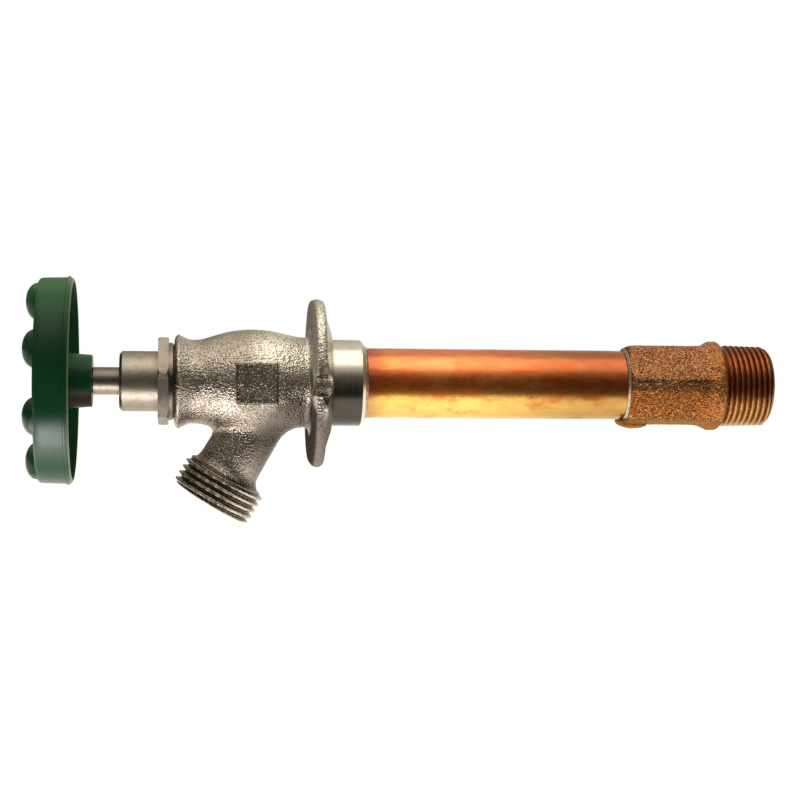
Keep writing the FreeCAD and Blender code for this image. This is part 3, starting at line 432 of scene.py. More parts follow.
def solder_ring(name, root, way):
    """An uneven solder fillet round the tube, widest at root and thinning out along way (1 or -1)."""
    outline = [(root - 0.2 * way, 11.2), (root, 12.2), (root + 0.35 * way, 11.8), (root + 0.9 * way, 11.2)]
    outline = rounded(outline, 0.3)

    def wobble(axial, angle):
        swell = 0.10 * np.sin(3 * angle + root) + 0.07 * np.sin(7 * angle + 1.3 * axial)
        return np.where(abs(axial - root) < 0.9, swell, swell * 0.3)

    return lathe(name, outline, axis_frame(), wobble=wobble)


def inlet_casting():
    """The inlet's cast hexagon and round ring, with a lip of spilt metal under the front end."""
    grid = Grid((INLET_FRONT - 3.4, -15.4, -15.4), (NPT_FRONT + 1.6, 15.4, 15.4), 0.24)
    flats = []
    for side in range(6):
        angle = HEX_TURN + math.radians(30 + 60 * side)
        flats.append(-grid.y * math.cos(angle) + grid.z * math.sin(angle) - INLET_HEX)
    field = flats[0]
    for flat in flats[1:]:
        field = overlap(field, flat, 0.9)
    radial = grid.radius()
    lip_x, lip_z, lip_reach, lip_half = 98.0, -11.9, 4.1, 5.5
    lip = np.hypot(grid.x - lip_x, (grid.z - lip_z) * 2.0) - lip_reach
    lip = np.maximum(np.maximum(lip, np.abs(grid.y) - lip_half), radial - 14.0)
    ends = np.maximum(INLET_FRONT - grid.x, grid.x - (RING_FRONT + 0.5))
    field = overlap(field, ends, 0.8)
    field = overlap(field, radial + 0.55 * (INLET_FRONT - grid.x) - 13.2, 0.9)
    field = join(field, lip, 1.2)
    ring = [(117.5, 0), (117.5, 11.5), (121.0, 12.7), (122.6, 14.1), (123.2, 14.4), (125.2, 14.4)]
    ring += [(126.0, 13.9), (127.2, 12.2), (128.4, 12.0), (128.4, 0)]
    field = join(field, turned_field(ring, grid.x, radial), 2.4)
    waves = np.sin(grid.x * 2.3 + 3 * np.sin(grid.y * 0.9)) * np.sin(grid.z * 2.1 + 2 * np.sin(grid.x * 0.6))
    field = field + 0.07 * waves
    tube_socket = np.maximum(radial - 11.16, grid.x - TUBE_END)
    valve_room = np.maximum(radial - TUBE_BORE_R, grid.x - SEAT_START)
    for hollow in (tube_socket, valve_room, radial - 7.0):
        field = cut(field, hollow, 0.3)
    return mesh_field("inlet_casting", grid, field)


def inlet_thread():
    """The tapered pipe thread with the socket inside it."""
    count = 192
    start, end = NPT_FRONT - 0.3, INLET_END - 0.9
    foot = [(start - 0.4, INLET_BORE_R)]
    lip = [(end, 12.3), (INLET_END, 11.4), (INLET_END, 8.5), (INLET_END - 0.5, INLET_BORE_R)]
    thread = thread_rows(start, end, NPT_R, NPT_DEPTH, NPT_PITCH, count, NPT_TAPER, fade=1.3)
    rows = round_rows(foot, count) + thread + round_rows(lip, count)
    return spin("inlet_thread", rows, axis_frame(), sharp_degrees=40)


def wheel_rim():
    """The turned rim of the handwheel with its thin raised ring and hollow back."""
    outline = [
        (WHEEL_FRONT, 20.0),
        (WHEEL_FRONT, 31.35),
        (-90.65, 31.85),
        (-90.1, 32.1),
        (-88.0, 32.2),
        (-82.3, 32.35),
        (-82.15, 32.4),
        (-81.95, 32.75),
        (-81.55, 32.75),
        (-81.35, 32.3),
        (-80.75, 32.1),
        (WHEEL_BACK, 31.6),
        (WHEEL_BACK, 31.0),
        (-80.75, 30.75),
        (-85.6, 30.35),
        (-86.8, 29.8),
        (-87.4, 28.4),
        (-87.4, 20.0),
    ]
    return lathe("wheel_rim", outline, axis_frame(), 240, sharp_degrees=34)


def wheel_web():
    """The web with eight domes and four windows, and the hub."""
    grid = Grid((-95.2, -32.6, -32.6), (-73.6, 32.6, 32.6), 0.3)
    radial = grid.radius()
    web_front = WHEEL_FRONT + 0.1
    field = turned_field([(web_front, 0), (web_front, 30.0), (WEB_BACK, 29.4), (WEB_BACK, 0)], grid.x, radial)
    height = np.abs((grid.x - WHEEL_FRONT - 1.0) / DOME_HEIGHT) ** DOME_POWER
    for turn in range(DOMES):
        angle = WHEEL_PHASE + turn * FULL_TURN / DOMES
        y, z = -DOME_CIRCLE_R * math.sin(angle), DOME_CIRCLE_R * math.cos(angle)
        across = np.hypot(grid.y - y, grid.z - z)
        dome = ((height + (across / DOME_R) ** DOME_POWER) ** (1 / DOME_POWER) - 1) * DOME_HEIGHT
        dome = np.maximum(np.maximum(dome, grid.x - WEB_BACK + 0.5), radial - 31.8)
        field = join(field, dome, 0.35)
    hub = [(-90.6, 0), (-90.6, 9.6), (-87.0, HUB_FRONT_R), (HUB_END, HUB_BACK_R), (HUB_END, 0)]
    field = join(field, turned_field(hub, grid.x, radial), 1.4)
    around = np.arctan2(grid.z, grid.y)
    for turn in range(WINDOWS):
        middle = WHEEL_PHASE + math.radians(45) + turn * FULL_TURN / WINDOWS
        off = np.abs((around - middle + math.pi) % FULL_TURN - math.pi)
        window = np.maximum(np.abs(radial - WINDOW_CIRCLE_R) - WINDOW_HALF, (off - WINDOW_ANGLE) * radial)
        field = cut(field, window, 1.2)
    recess = np.maximum(radial - SCREW_RECESS_R, grid.x + 86.6)
    field = cut(field, recess, 0.6)
    field = cut(field, radial - STEM_HOLE_R, 0.3)
    return mesh_field("wheel_web", grid, field)


# Materials


class Paint:
    """A material's node tree, built by small calls. Coordinates are the piece's own millimetres."""

    def __init__(self, name):
        self.material = bpy.data.materials.new(name)
        self.material.use_nodes = True
        self.tree = self.material.node_tree
        self.surface = self.tree.nodes["Principled BSDF"]
        metres = self.node("ShaderNodeTexCoord").outputs["Object"]
        self.place = self.vector("MULTIPLY", metres, (1 / MM, 1 / MM, 1 / MM))

    def node(self, kind, inputs=None, **settings):
        made = self.tree.nodes.new(kind)
        for key, value in settings.items():
            setattr(made, key, value)
        for key, value in (inputs or {}).items():
            self.feed(made.inputs[key], value)
        return made

    def feed(self, socket, value):
        if isinstance(value, bpy.types.NodeSocket):
            self.tree.links.new(value, socket)
        else:
            socket.default_value = value

    def axis(self, index):
        """One coordinate: along, across or up."""
        return self.node("ShaderNodeSeparateXYZ", {0: self.place}).outputs[index]

    def vector(self, operation, a, b):
        return self.node("ShaderNodeVectorMath", {0: a, 1: b}, operation=operation).outputs[0]

    def length(self, vector):
        return self.node("ShaderNodeVectorMath", {0: vector}, operation="LENGTH").outputs["Value"]

    def radial(self):
        """Distance from the X axis."""
        return self.length(self.vector("MULTIPLY", self.place, (0, 1, 1)))

    def stretched(self, scale, offset=(0, 0, 0)):
        """Coordinates scaled apart along each axis."""
        inputs = {"Vector": self.place, "Scale": scale, "Location": offset}
        return self.node("ShaderNodeMapping", inputs).outputs[0]

    def noise(self, scale, detail=3.0, roughness=0.55, distortion=0.0, offset=(0, 0, 0)):
        scale = scale if isinstance(scale, tuple) else (scale, scale, scale)
        inputs = {
            "Vector": self.stretched(scale, offset),
            "Scale": 1.0,
            "Detail": detail,
            "Roughness": roughness,
            "Distortion": distortion,
        }
        return self.node("ShaderNodeTexNoise", inputs).outputs["Fac"]

    def grains(self, scale):
        """Distance to the nearest of many scattered points."""
        inputs = {"Vector": self.stretched((scale, scale, scale)), "Scale": 1.0}
        return self.node("ShaderNodeTexVoronoi", inputs).outputs["Distance"]

    def math(self, operation, a, b=0.0, c=0.0):
        return self.node("ShaderNodeMath", {0: a, 1: b, 2: c}, operation=operation).outputs[0]

    def both(self, a, b):
        """Where two masks overlap, or one mask at part strength."""
        return self.math("MULTIPLY", a, b)

    def jitter(self, value, noise, reach):
        """A value moved up or down by a noise, by up to reach."""
        return self.math("ADD", value, self.span(noise, 0.3, 0.7, -reach, reach))

    def span(self, value, low, high, out_low=0.0, out_high=1.0):
        """A smooth step of value between low and high."""
        inputs = {0: value, 1: low, 2: high, 3: out_low, 4: out_high}
        return self.node("ShaderNodeMapRange", inputs, interpolation_type="SMOOTHSTEP").outputs[0]

    def mix(self, factor, a, b, blend_type="MIX"):
        made = self.node("ShaderNodeMix", data_type="RGBA", blend_type=blend_type)
        for index, value in ((0, factor), (6, a), (7, b)):
            if isinstance(value, tuple):
                value = (*value, 1.0)
            self.feed(made.inputs[index], value)
        return made.outputs[2]

    def ramp(self, factor, stops):
        """A colour read from (position, colour) stops."""
        made = self.node("ShaderNodeValToRGB", {"Fac": factor})
        elements = made.color_ramp.elements
        while len(elements) < len(stops):
            elements.new(0.5)
        for element, (position, colour) in zip(elements, stops):
            element.position = position
            element.color = (*colour, 1.0)
        return made.outputs[0]

    def bump(self, height, distance, strength=1.0, under=None):
        inputs = {"Height": height, "Distance": distance * MM, "Strength": strength}
        if under is not None:
            inputs["Normal"] = under
        return self.node("ShaderNodeBump", inputs).outputs[0]

    def finish(self, colour, roughness, normal=None, metallic=1.0, coat=None, specular=0.5):
        """Feed the surface shader. A coat is as rough as the surface under it."""
        inputs = {
            "Base Color": colour,
            "Roughness": roughness,
            "Metallic": metallic,
            "Specular IOR Level": specular,
        }
        if normal is not None:
            inputs["Normal"] = normal
        if coat is not None:
            inputs["Coat Weight"], inputs["Coat Roughness"] = coat, roughness
        for name, value in inputs.items():
            self.feed(self.surface.inputs[name], value)
        return self.material


def slot_distance(paint):
    """How far a point is from a slot's mouth, where 1 is the mouth's own surface."""
    along, side, up = (paint.axis(index) for index in range(3))
    mouth_x, mouth_y, mouth_z = SLOT_MOUTH_PLACE
    slanted = paint.math("ADD", along, paint.math("MULTIPLY_ADD", up, SLOT_SLANT, -SLOT_SLANT * mouth_z))
    arm = paint.node("ShaderNodeCombineXYZ", {0: slanted, 1: paint.math("ABSOLUTE", side), 2: up}).outputs[0]
    arm = paint.vector("ADD", arm, (-mouth_x, -mouth_y, -mouth_z))
    return paint.length(paint.vector("DIVIDE", arm, SLOT_MOUTH))


def panel_mask(paint):
    """The raised square on the body's side, strongest along its rim."""
    along, side, up = (paint.axis(index) for index in range(3))
    off_x = paint.math("ABSOLUTE", paint.math("ADD", along, -PANEL_X))
    off_z = paint.math("ABSOLUTE", paint.math("SUBTRACT", up, PANEL_Z))
    off = paint.math("MAXIMUM", off_x, off_z)
    panel = paint.both(paint.span(off, PANEL_HALF + 0.3, PANEL_HALF - 0.1), paint.span(side, -11.0, -12.0))
    return paint.both(panel, paint.span(off, 5.6, 6.2, 0.45, 1.0))


def cast_nickel():
    """Dull nickel over rough sand-cast brass, with a dark panel, a painted highlight on the crown, painted
    shade underneath, a dull flange face and lower edge painted darker as shade, and a painted glint and
    painted shade at the slot mouths.
    """
    paint = Paint("cast_nickel")
    patches = paint.noise(0.13, 2.0)
    grit = paint.noise(1.75, 1.5, 0.5)
    pits = paint.grains(2.1)
    along, side, up = (paint.axis(index) for index in range(3))
    radial = paint.radial()
    flange = paint.span(radial, 15.5, 18.0)
    colour = paint.mix(paint.span(patches, 0.35, 0.65), (0.40, 0.35, 0.285), (0.58, 0.52, 0.44))

    # Painted highlight: the crown is lightened where the top light falls on it.
    crown_highlight = paint.both(paint.span(along, -27.0, -18.0), paint.span(up, 1.0, 6.0))
    colour = paint.mix(crown_highlight, colour, (0.80, 0.745, 0.64))
    # Painted shade: the body is darkened underneath, towards the spout.
    height = paint.jitter(up, patches, 2.0)
    under = paint.both(paint.span(height, -2.0, -8.0), paint.span(along, -27.0, -18.0, 0.3, 1.0))
    colour = paint.mix(paint.both(under, 0.9), colour, (0.15, 0.125, 0.108))
    # Painted shade: darker still deep under the body, by the spout's neck.
    deep_underside_shade = paint.both(paint.span(up, -11.0, -15.0), paint.span(along, -29.0, -20.0))
    colour = paint.mix(paint.both(deep_underside_shade, 0.8), colour, (0.07, 0.057, 0.048))

    # The flange's front face is made dull, and its colour is painted shade, darkest at the bottom.
    face = paint.both(paint.span(along, -9.0, -7.0), paint.span(along, -5.4, -6.0))
    face = paint.both(face, paint.both(flange, 0.85))
    dull = paint.mix(paint.span(up, -3.0, 3.0), (0.045, 0.038, 0.032), (0.26, 0.235, 0.20))
    colour = paint.mix(face, colour, dull)
    colour = paint.mix(panel_mask(paint), colour, (0.19, 0.16, 0.13))

    mouth = slot_distance(paint)
    # Painted highlight along the lower lip of each slot mouth.
    painted_glint = paint.both(paint.span(mouth, 2.15, 1.75), paint.span(up, 1.5, -1.0))
    painted_glint = paint.both(painted_glint, paint.span(paint.math("ABSOLUTE", side), 19.5, 21.5))
    colour = paint.mix(painted_glint, colour, (0.92, 0.86, 0.80))
    # Painted shade inside the slot mouths.
    colour = paint.mix(paint.span(mouth, 1.18, 1.02, 0.0, 0.92), colour, (0.09, 0.075, 0.058))

    # Painted shade on the flange's lower edge; the same mask also makes the lower flange dull.
    lower = paint.both(paint.both(flange, paint.span(up, -6.0, -11.0)), paint.span(along, -9.0, -7.5))
    edge = paint.both(lower, paint.span(along, -6.2, -5.4, 0.0, 0.9))
    colour = paint.mix(edge, colour, (0.25, 0.215, 0.19))
    lower = paint.both(lower, paint.span(along, -3.4, -2.6, 0.5, 1.0))
    colour = paint.mix(paint.span(grit, 0.50, 0.34, 0.0, 0.75), colour, (0.14, 0.115, 0.09))

    crust = paint.math("MAXIMUM", face, lower)
    rough = paint.math("MULTIPLY_ADD", crust, 0.5, paint.span(grit, 0.3, 0.7, 0.30, 0.16))
    normal = paint.bump(grit, 0.30, 1.0, paint.bump(pits, 0.10, 0.8))
    return paint.finish(colour, rough, normal, paint.math("SUBTRACT", 1.0, crust), specular=0.0)


def turned_nickel():
    """Machined metal with fine rings round the X axis, painted dark reflection on the lower half and a
    painted highlight on the chamfer.
    """
    paint = Paint("turned_collar")
    rings = paint.noise((5.0, 0.02, 0.02), 3.0, 0.7)
    stain = paint.noise(0.35, 4.0, 0.6)
    base = paint.mix(paint.span(stain, 0.35, 0.7), (0.70, 0.655, 0.57), (0.62, 0.57, 0.485))
    base = paint.mix(paint.span(rings, 0.55, 0.75, 0.0, 0.25), base, (0.42, 0.393, 0.342))
    # Painted dark reflection: the collar's lower half is darkened.
    height = paint.jitter(paint.axis(2), stain, 0.8)
    base = paint.mix(paint.span(height, 6.5, -3.5, 0.0, 0.94), base, (0.030, 0.026, 0.020))
    # Painted highlight on the chamfer at the collar's end.
    base = paint.mix(paint.span(paint.axis(0), 9.3, 9.6, 0.0, 0.8), base, (0.90, 0.84, 0.72))
    rough = paint.math("ADD", paint.span(rings, 0.3, 0.7, -0.05, 0.07), 0.24)
    return paint.finish(base, rough, paint.bump(rings, 0.05, 0.6))


def bonnet_nickel():
    """Satin nickel, with painted shade darkening the hexagon, most in a band across its middle, and on the
    thin stem's upper half.
    """
    paint = Paint("satin_nickel")
    rings = paint.noise((9.0, 0.02, 0.02), 3.0, 0.7)
    stain = paint.noise(0.35, 4.0, 0.6)
    scuffs = paint.noise(1.3, 4.0, 0.65, 0.3, (4, 9, 2))
    up, radial = paint.axis(2), paint.radial()
    base = paint.mix(paint.span(stain, 0.35, 0.7), (0.35, 0.31, 0.255), (0.29, 0.25, 0.20))
    base = paint.mix(paint.span(rings, 0.55, 0.75, 0.0, 0.25), base, (0.21, 0.18, 0.15))
    base = paint.mix(paint.span(scuffs, 0.58, 0.66, 0.0, 0.6), base, (0.13, 0.11, 0.085))
    # Painted shade: the hexagon is darkened overall, and most in a band across its middle.
    height = paint.jitter(up, stain, 1.5)
    low = paint.span(height, -3.5, -8.0, 0.55, 0.0)
    shade_band = paint.both(paint.span(height, 4.5, 1.5), paint.math("ADD", low, 0.3))
    hexagon = paint.span(radial, 10.1, 10.8)
    base = paint.mix(paint.both(hexagon, 0.35), base, (0.12, 0.10, 0.08))
    base = paint.mix(paint.both(shade_band, hexagon), base, (0.06, 0.05, 0.04))
    # Painted shade on the upper half of the thin stem.
    stem = paint.both(paint.span(radial, 5.4, 5.0), paint.span(up, -0.8, 0.4))
    base = paint.mix(paint.both(stem, 0.6), base, (0.10, 0.085, 0.07))
    rough = paint.math("ADD", paint.span(rings, 0.3, 0.7, -0.05, 0.07), 0.34)
    return paint.finish(base, rough, paint.bump(scuffs, 0.10, 0.5, paint.bump(rings, 0.05, 0.6)))


def thread_nickel():
    """Cut thread on the spout, bright on its crests, with painted shade in its roots."""
    paint = Paint("thread_nickel")
    origin, directions = spout_place()
    grit = paint.noise(1.4, 3.0)
    fine = paint.noise(3.0, 2.0)
    colour = paint.mix(paint.span(grit, 0.35, 0.65), (0.40, 0.35, 0.29), (0.66, 0.60, 0.52))
    arm = paint.vector("SUBTRACT", paint.place, tuple(origin))
    from_axis = paint.length(paint.vector("CROSS_PRODUCT", arm, tuple(directions[0])))
    # Painted shade in the thread's roots.
    shade_radius = paint.jitter(from_axis, grit, 0.35)
    colour = paint.mix(paint.span(shade_radius, 13.2, 12.3, 0.0, 0.85), colour, (0.10, 0.08, 0.06))
    rough = paint.span(grit, 0.3, 0.7, 0.22, 0.36)
    return paint.finish(colour, rough, paint.bump(fine, 0.10, 0.7))


def green_enamel():
    """Smooth green moulding: dull inside the rim and under the hub, glossy low down on the rim, with painted
    light on the rim's top and lower part, on the back lip and on the hub's top, and painted shade under the
    hub.
    """
    paint = Paint("green_enamel")
    cloud = paint.noise(0.07, 3.0)
    peel = paint.noise(0.9, 2.0)
    dust = paint.noise(5.0, 3.0, 0.7)
    along, up, radial = paint.axis(0), paint.axis(2), paint.radial()
    colour = paint.mix(paint.span(cloud, 0.3, 0.7), (0.003, 0.036, 0.013), (0.005, 0.046, 0.018))
    # Painted light: lighter green towards the top of the wheel.
    colour = paint.mix(paint.span(up, 14.0, 33.0), colour, (0.032, 0.125, 0.042))
    # Painted light: lighter green low down on the rim.
    colour = paint.mix(paint.span(up, -8.0, -14.0, 0.0, 0.7), colour, (0.007, 0.052, 0.022))
    colour = paint.mix(paint.span(dust, 0.66, 0.74, 0.0, 0.2), colour, (0.07, 0.14, 0.08))

    # Painted highlight along the rim's back lip.
    lip = paint.both(paint.span(along, -80.9, -80.6), paint.span(radial, 30.2, 30.8))
    colour = paint.mix(paint.both(lip, 0.8), colour, (0.14, 0.17, 0.08))
    hollow = paint.both(paint.span(radial, 31.3, 30.9), paint.span(radial, 12.0, 13.5))
    hollow = paint.both(hollow, paint.span(along, -88.5, -87.5))
    colour = paint.mix(paint.both(hollow, 0.7), colour, (0.003, 0.036, 0.015))
    # Painted light on the hub's top and painted shade under the hub.
    hub = paint.both(paint.span(radial, 12.6, 12.2), paint.span(along, -88.0, -87.0))
    colour = paint.mix(paint.both(hub, paint.span(up, 3.0, 8.0)), colour, (0.018, 0.11, 0.042))
    hub_under_shade = paint.both(hub, paint.span(up, -0.5, -5.0))
    colour = paint.mix(hub_under_shade, colour, (0.028, 0.022, 0.014))

    dull = paint.math("MAXIMUM", hollow, hub_under_shade)
    rough = paint.math("ADD", paint.span(cloud, 0.3, 0.7, 0.26, 0.33), paint.both(hollow, 0.25))
    polish = paint.both(paint.span(up, -7.0, -15.0, 0.04, 1.0), paint.span(up, -20.0, -26.0, 1.0, 0.12))
    coat = paint.both(polish, paint.math("SUBTRACT", 1.0, dull))
    gloss = paint.math("SUBTRACT", 0.13, paint.both(dull, 0.10))
    return paint.finish(colour, rough, paint.bump(peel, 0.04, 0.5), 0.0, coat, gloss)


def copper():
    """Drawn copper with heat tint colours, painted shade across its middle, a lighter golden underside that
    is partly painted highlight, and fine lengthwise lines.
    """
    paint = Paint("copper")
    along = paint.axis(0)
    clouds = paint.noise((0.045, 0.09, 0.09), 4.0, 0.6, 0.6)
    blotches = paint.noise((0.14, 0.25, 0.25), 4.0, 0.6, 0.4, (7, 3, 1))
    lines = paint.noise((0.02, 6.0, 6.0), 2.0, 0.6)
    specks = paint.noise(1.1, 3.0, 0.5)
    # By height: heat tint colours, with painted shade across the middle and a lighter golden painted
    # highlight towards the bottom.
    level = paint.math("MULTIPLY_ADD", paint.jitter(paint.axis(2), blotches, 2.2), 1 / 22, 0.5)
    tints_and_painted_light = [
        (0.10, (0.90, 0.56, 0.155)),
        (0.26, (0.88, 0.50, 0.12)),
        (0.36, (0.80, 0.34, 0.075)),
        (0.44, (0.70, 0.20, 0.038)),
        (0.62, (0.80, 0.18, 0.045)),
        (0.85, (0.80, 0.245, 0.09)),
    ]
    colour = paint.ramp(level, tints_and_painted_light)
    colour = paint.mix(paint.span(blotches, 0.54, 0.70, 0.0, 0.5), colour, (0.56, 0.20, 0.085))
    colour = paint.mix(paint.span(clouds, 0.52, 0.64, 0.0, 0.4), colour, (0.86, 0.40, 0.15))
    colour = paint.mix(paint.span(along, 11.5, 19.0, 1.0, 0.0), colour, (0.60, 0.58, 0.75), "MULTIPLY")
    colour = paint.mix(paint.span(along, 38.0, 84.0), colour, (0.52, 0.50, 0.50), "MULTIPLY")
    colour = paint.mix(paint.span(specks, 0.68, 0.74, 0.0, 0.7), colour, (0.26, 0.08, 0.03))
    rough = paint.span(blotches, 0.3, 0.7, 0.22, 0.36)
    normal = paint.bump(lines, 0.03, 0.6)
    return paint.finish(colour, rough, paint.bump(clouds, 0.12, 0.35, normal))


def cast_bronze():
    """Granular cast bronze: brown above its middle, orange below, a painted highlight line along the
    hexagon's ridge with painted shade under it, and a dull underside.
    """
    paint = Paint("cast_bronze")
    patches = paint.noise(0.16, 3.0, 0.6, 0.5)
    grit = paint.noise(1.9, 1.5, 0.5)
    pits = paint.grains(1.7)
    along, up = paint.axis(0), paint.axis(2)
    height = paint.jitter(up, patches, 0.6)
    top = paint.mix(paint.span(patches, 0.35, 0.65), (0.26, 0.092, 0.036), (0.36, 0.165, 0.072))
    # By height: brown and orange tones, with painted shade just under the ridge and a painted highlight line
    # on it.
    tints_and_painted_light = [
        (0.10, (0.13, 0.085, 0.028)),
        (0.18, (0.40, 0.135, 0.032)),
        (0.42, (0.31, 0.10, 0.025)),
        (0.49, (0.09, 0.04, 0.015)),
        (0.56, (0.12, 0.05, 0.022)),
        (0.61, (0.62, 0.42, 0.25)),
    ]
    sides = paint.ramp(paint.math("MULTIPLY_ADD", height, 1 / 28, 0.5), tints_and_painted_light)
    colour = paint.mix(paint.span(height, 1.6, 2.6), sides, top)
    colour = paint.mix(paint.span(along, 119.5, 121.5, 0.0, 0.5), colour, (0.54, 0.205, 0.055))
    colour = paint.mix(paint.span(along, 126.0, 126.8, 0.0, 0.8), colour, (0.11, 0.075, 0.03))
    colour = paint.mix(paint.span(grit, 0.56, 0.70, 0.0, 0.7), colour, (0.66, 0.36, 0.15))
    colour = paint.mix(paint.span(grit, 0.50, 0.36, 0.0, 0.85), colour, (0.10, 0.034, 0.012))
    keel = paint.span(up, -10.6, -11.6)
    colour = paint.mix(keel, colour, (0.34, 0.16, 0.045))
    rough = paint.math("MULTIPLY_ADD", keel, 0.5, paint.span(grit, 0.3, 0.7, 0.42, 0.24))
    normal = paint.bump(grit, 0.36, 1.0, paint.bump(pits, 0.14, 0.8))
    return paint.finish(colour, rough, normal, paint.math("SUBTRACT", 1.0, keel), specular=0.0)


def cut_bronze():
    """The inlet's cut thread: red on top, golden below, with painted shade in its roots."""
    paint = Paint("cut_bronze")
    patches = paint.noise(0.2, 3.0, 0.6, 0.4)
    fine = paint.noise((4.0, 1.0, 1.0), 2.0)
    height = paint.jitter(paint.axis(2), patches, 1.5)
    colour = paint.mix(paint.span(height, 0.0, -7.0), (0.42, 0.125, 0.04), (0.60, 0.34, 0.12))
    colour = paint.mix(paint.span(patches, 0.45, 0.7, 0.0, 0.5), colour, (0.44, 0.22, 0.09))
    # Painted shade in the thread's roots.
    colour = paint.mix(paint.span(paint.radial(), 12.9, 12.3, 0.0, 0.45), colour, (0.13, 0.05, 0.02))
    colour = paint.mix(paint.span(fine, 0.58, 0.40, 0.0, 0.5), colour, (0.18, 0.08, 0.035))
    return paint.finish(colour, paint.span(fine, 0.3, 0.7, 0.40, 0.28), paint.bump(fine, 0.10, 0.7))


def solder():
    """Dull silver solder with flux stains."""
    paint = Paint("solder")
    stain = paint.noise(0.5, 4.0)
    colour = paint.mix(paint.span(stain, 0.4, 0.65), (0.52, 0.47, 0.38), (0.45, 0.28, 0.14))
    return paint.finish(colour, 0.38, paint.bump(paint.noise(1.6, 3.0), 0.2, 0.7))


def plain_metal(name, colour, roughness):
    """Small hardware: fine scratches and slight stains."""
    paint = Paint(name)
    scratch = paint.noise((1.0, 5.0, 5.0), 3.0, 0.6)
    stain = paint.noise(0.6, 3.0)
    base = paint.mix(paint.span(stain, 0.4, 0.7), colour, tuple(c * 0.72 for c in colour))
    rough = paint.span(scratch, 0.3, 0.7, roughness - 0.06, roughness + 0.08)
    return paint.finish(base, rough, paint.bump(scratch, 0.03, 0.5))


def plain_soft(name, colour, roughness):
    """Rubber or moulded plastic with a faint texture."""
    paint = Paint(name)
    grain = paint.noise(3.0, 3.0)
    cloud = paint.noise(0.4, 2.0)
    base = paint.mix(paint.span(cloud, 0.35, 0.7), colour, tuple(c * 0.75 + 0.01 for c in colour))
    return paint.finish(base, roughness, paint.bump(grain, 0.05, 0.5), 0.0)


def dress(piece, material):
    """Give a piece one material in every slot."""
    slots = piece.data.materials
    if not slots:
        slots.append(material)
    for index in range(len(slots)):
        slots[index] = material


# Stage


def photograph_camera():
    """A camera that looks along Y, turned by its yaw, pitch and roll."""
    yaw, pitch, roll = (math.radians(angle) for angle in CAMERA_TURN)
    forward = Vector((math.sin(yaw) * math.cos(pitch), math.cos(yaw) * math.cos(pitch), math.sin(pitch)))
    right = Vector((math.cos(yaw), -math.sin(yaw), 0))
    up = right.cross(forward)
    level = math.cos(roll) * right + math.sin(roll) * up
    top = math.cos(roll) * up - math.sin(roll) * right
    data = bpy.data.cameras.new("camera")
    data.sensor_width = CAMERA_SENSOR
    data.lens = CAMERA_LENS
    data.clip_start, data.clip_end = 0.01, 50
    camera = bpy.data.objects.new("camera", data)
    matrix = Matrix((level, top, -forward)).transposed().to_4x4()
    matrix.translation = Vector(CAMERA_PLACE) * MM
    camera.matrix_world = matrix
    bpy.context.scene.collection.objects.link(camera)
    bpy.context.scene.camera = camera


def soft_light(name, place, target, size, power, colour):
    """A large area light aimed at a point."""
    data = bpy.data.lights.new(name, "AREA")
    data.shape = "RECTANGLE"
    data.size, data.size_y = size
    data.energy = power
    data.color = colour
    light = bpy.data.objects.new(name, data)
    light.location = place
    light.rotation_euler = (Vector(target) - Vector(place)).to_track_quat("-Z", "Y").to_euler()
    bpy.context.scene.collection.objects.link(light)


def world_light():
    """A studio that is bright overhead and behind the object, and white where it is seen directly."""
    world = bpy.data.worlds.new("surround")
    bpy.context.scene.world = world
    world.use_nodes = True
    tree = world.node_tree
    tree.nodes.clear()
    add, link = tree.nodes.new, tree.links.new
    out = add("ShaderNodeOutputWorld")
    pick = add("ShaderNodeMixShader")
    ray = add("ShaderNodeLightPath")
    lit = add("ShaderNodeBackground")
    seen = add("ShaderNodeBackground")
    parts = add("ShaderNodeSeparateXYZ")
    link(add("ShaderNodeTexCoord").outputs["Generated"], parts.inputs[0])

    def rise(index, limits):
        """A smooth step along one part of the direction, between limits."""
        made = add("ShaderNodeMapRange")
        made.interpolation_type = "SMOOTHSTEP"
        link(parts.outputs[index], made.inputs[0])
        for socket, value in zip(made.inputs[1:5], limits):
            socket.default_value = value
        return made.outputs[0]

    def combine(operation, a, b):
        made = add("ShaderNodeMath")
        made.operation = operation
        link(a, made.inputs[0])
        link(b, made.inputs[1])
        return made.outputs[0]

    behind = combine("MULTIPLY", rise(1, BACK_RISE), rise(0, BACK_SIDE))
    link(combine("MAXIMUM", rise(2, SKY_RISE), behind), lit.inputs["Strength"])
    lit.inputs["Color"].default_value = SKY_COLOUR
    seen.inputs["Color"].default_value = (1, 1, 1, 1)
    link(ray.outputs["Is Camera Ray"], pick.inputs[0])
    link(lit.outputs[0], pick.inputs[1])
    link(seen.outputs[0], pick.inputs[2])
    link(pick.outputs[0], out.inputs[0])


def build_floor():
    """A plain white table under the object, lit from within like a photographer's light table."""
    level, side, front, back = -0.13, 1.4, -0.165, 2.6
    corners = [(-side, front, level), (side, front, level), (side, back, level), (-side, back, level)]
    piece = new_piece("floor", corners, [(0, 1, 2, 3)])
    paint = Paint("floor")
    cloud = paint.noise(0.004, 2.0)
    base = paint.mix(paint.span(cloud, 0.3, 0.7), (0.90, 0.89, 0.88), (0.88, 0.87, 0.86))
    material = paint.finish(base, 0.8, metallic=0.0)
    paint.feed(paint.surface.inputs["Emission Color"], (1.0, 0.97, 0.955, 1.0))
    paint.feed(paint.surface.inputs["Emission Strength"], paint.span(paint.axis(1), -40.0, 60.0, 1.0, 0.62))
    dress(piece, material)


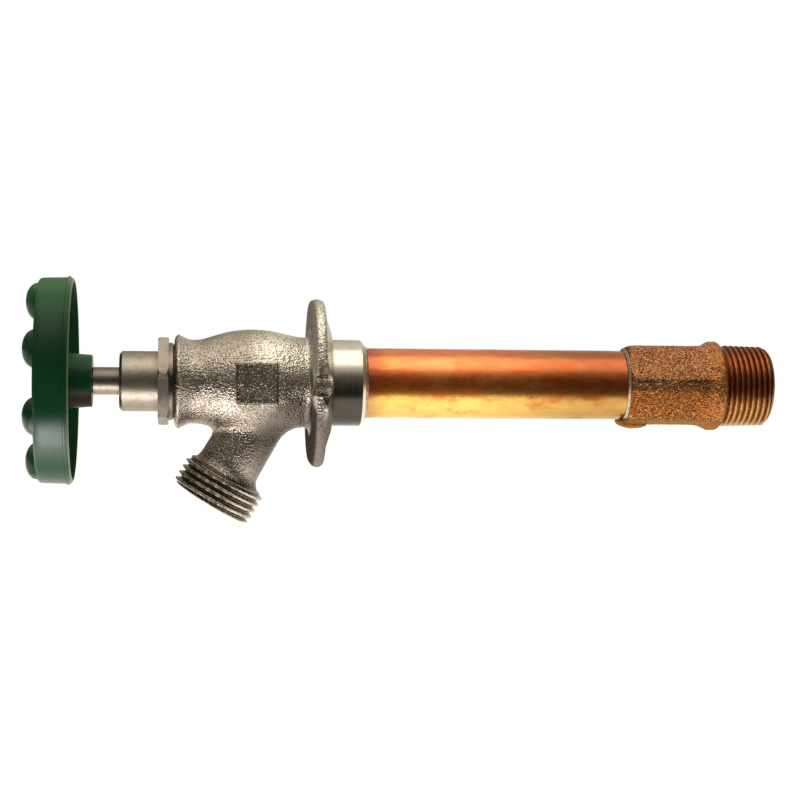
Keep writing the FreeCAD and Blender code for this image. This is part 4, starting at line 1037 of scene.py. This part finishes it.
def build_stage():
    """Floor, surround, light and camera."""
    build_floor()
    world_light()
    over, under = (0.05, -0.16, 0.45), (-0.085, -0.075, -0.105)
    soft_light("top_light", over, (0.05, -0.16, 0), (0.60, 0.44), 1.05, (1.0, 0.95, 0.86))
    soft_light("low_light", under, (-0.085, -0.02, -0.012), (0.09, 0.055), 0.062, (1.0, 0.97, 0.99))
    photograph_camera()
    bpy.context.scene.view_settings.view_transform = "Standard"


# Assembly


def ride_on(body, slot, piece, material, *nodes):
    """Place a finished piece on its body, in place of some CAD nodes."""
    dress(piece, material)
    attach(piece, body)
    if nodes:
        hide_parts(*nodes)


def build_pieces():
    """Every modelled piece."""
    ride_on("housing", "valve_body", body_casting(), cast_nickel(), "valve_body")
    ride_on("housing", "valve_body", hose_thread(), thread_nickel())
    ride_on("housing", "valve_body", collar(), turned_nickel())
    ride_on("housing", "copper_tube", copper_tube(), copper(), "copper_tube")
    lead = solder()
    for name, root, way in (("front_solder_ring", COLLAR_END, 1), ("rear_solder_ring", INLET_FRONT, -1)):
        ride_on("housing", name, solder_ring(name + "_fillet", root, way), lead, name)
    ride_on("housing", "inlet_adapter", inlet_casting(), cast_bronze(), "inlet_adapter")
    ride_on("housing", "inlet_adapter", inlet_thread(), cut_bronze())
    green = green_enamel()
    ride_on("stem", "handwheel", wheel_web(), green, "handwheel")
    ride_on("stem", "handwheel", wheel_rim(), green)


def dress_cad_nodes():
    """Materials for the CAD nodes that stay."""
    satin = bonnet_nickel()
    steel = plain_metal("zinc_steel", (0.62, 0.61, 0.58), 0.32)
    brass = plain_metal("bare_brass", (0.70, 0.50, 0.22), 0.28)
    rubber = plain_soft("black_rubber", (0.012, 0.012, 0.012), 0.6)
    plastic = plain_soft("white_plastic", (0.72, 0.71, 0.66), 0.45)
    stays = {
        "bonnet": satin,
        "stem_spindle": satin,
        "bonnet_gasket": rubber,
        "stem_o_rings": rubber,
        "seat_washer": rubber,
        "thrust_washer": plastic,
        "stem_guide": plastic,
        "operating_rod": brass,
        "disc_holder": brass,
        "washer_screw": brass,
        "rod_pin": steel,
        "swivel_clip": steel,
        "handle_screw": steel,
        "handle_washer": steel,
        "retainer_washer": steel,
    }
    for node, material in stays.items():
        dress(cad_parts[node], material)


build_pieces()
dress_cad_nodes()
build_stage()
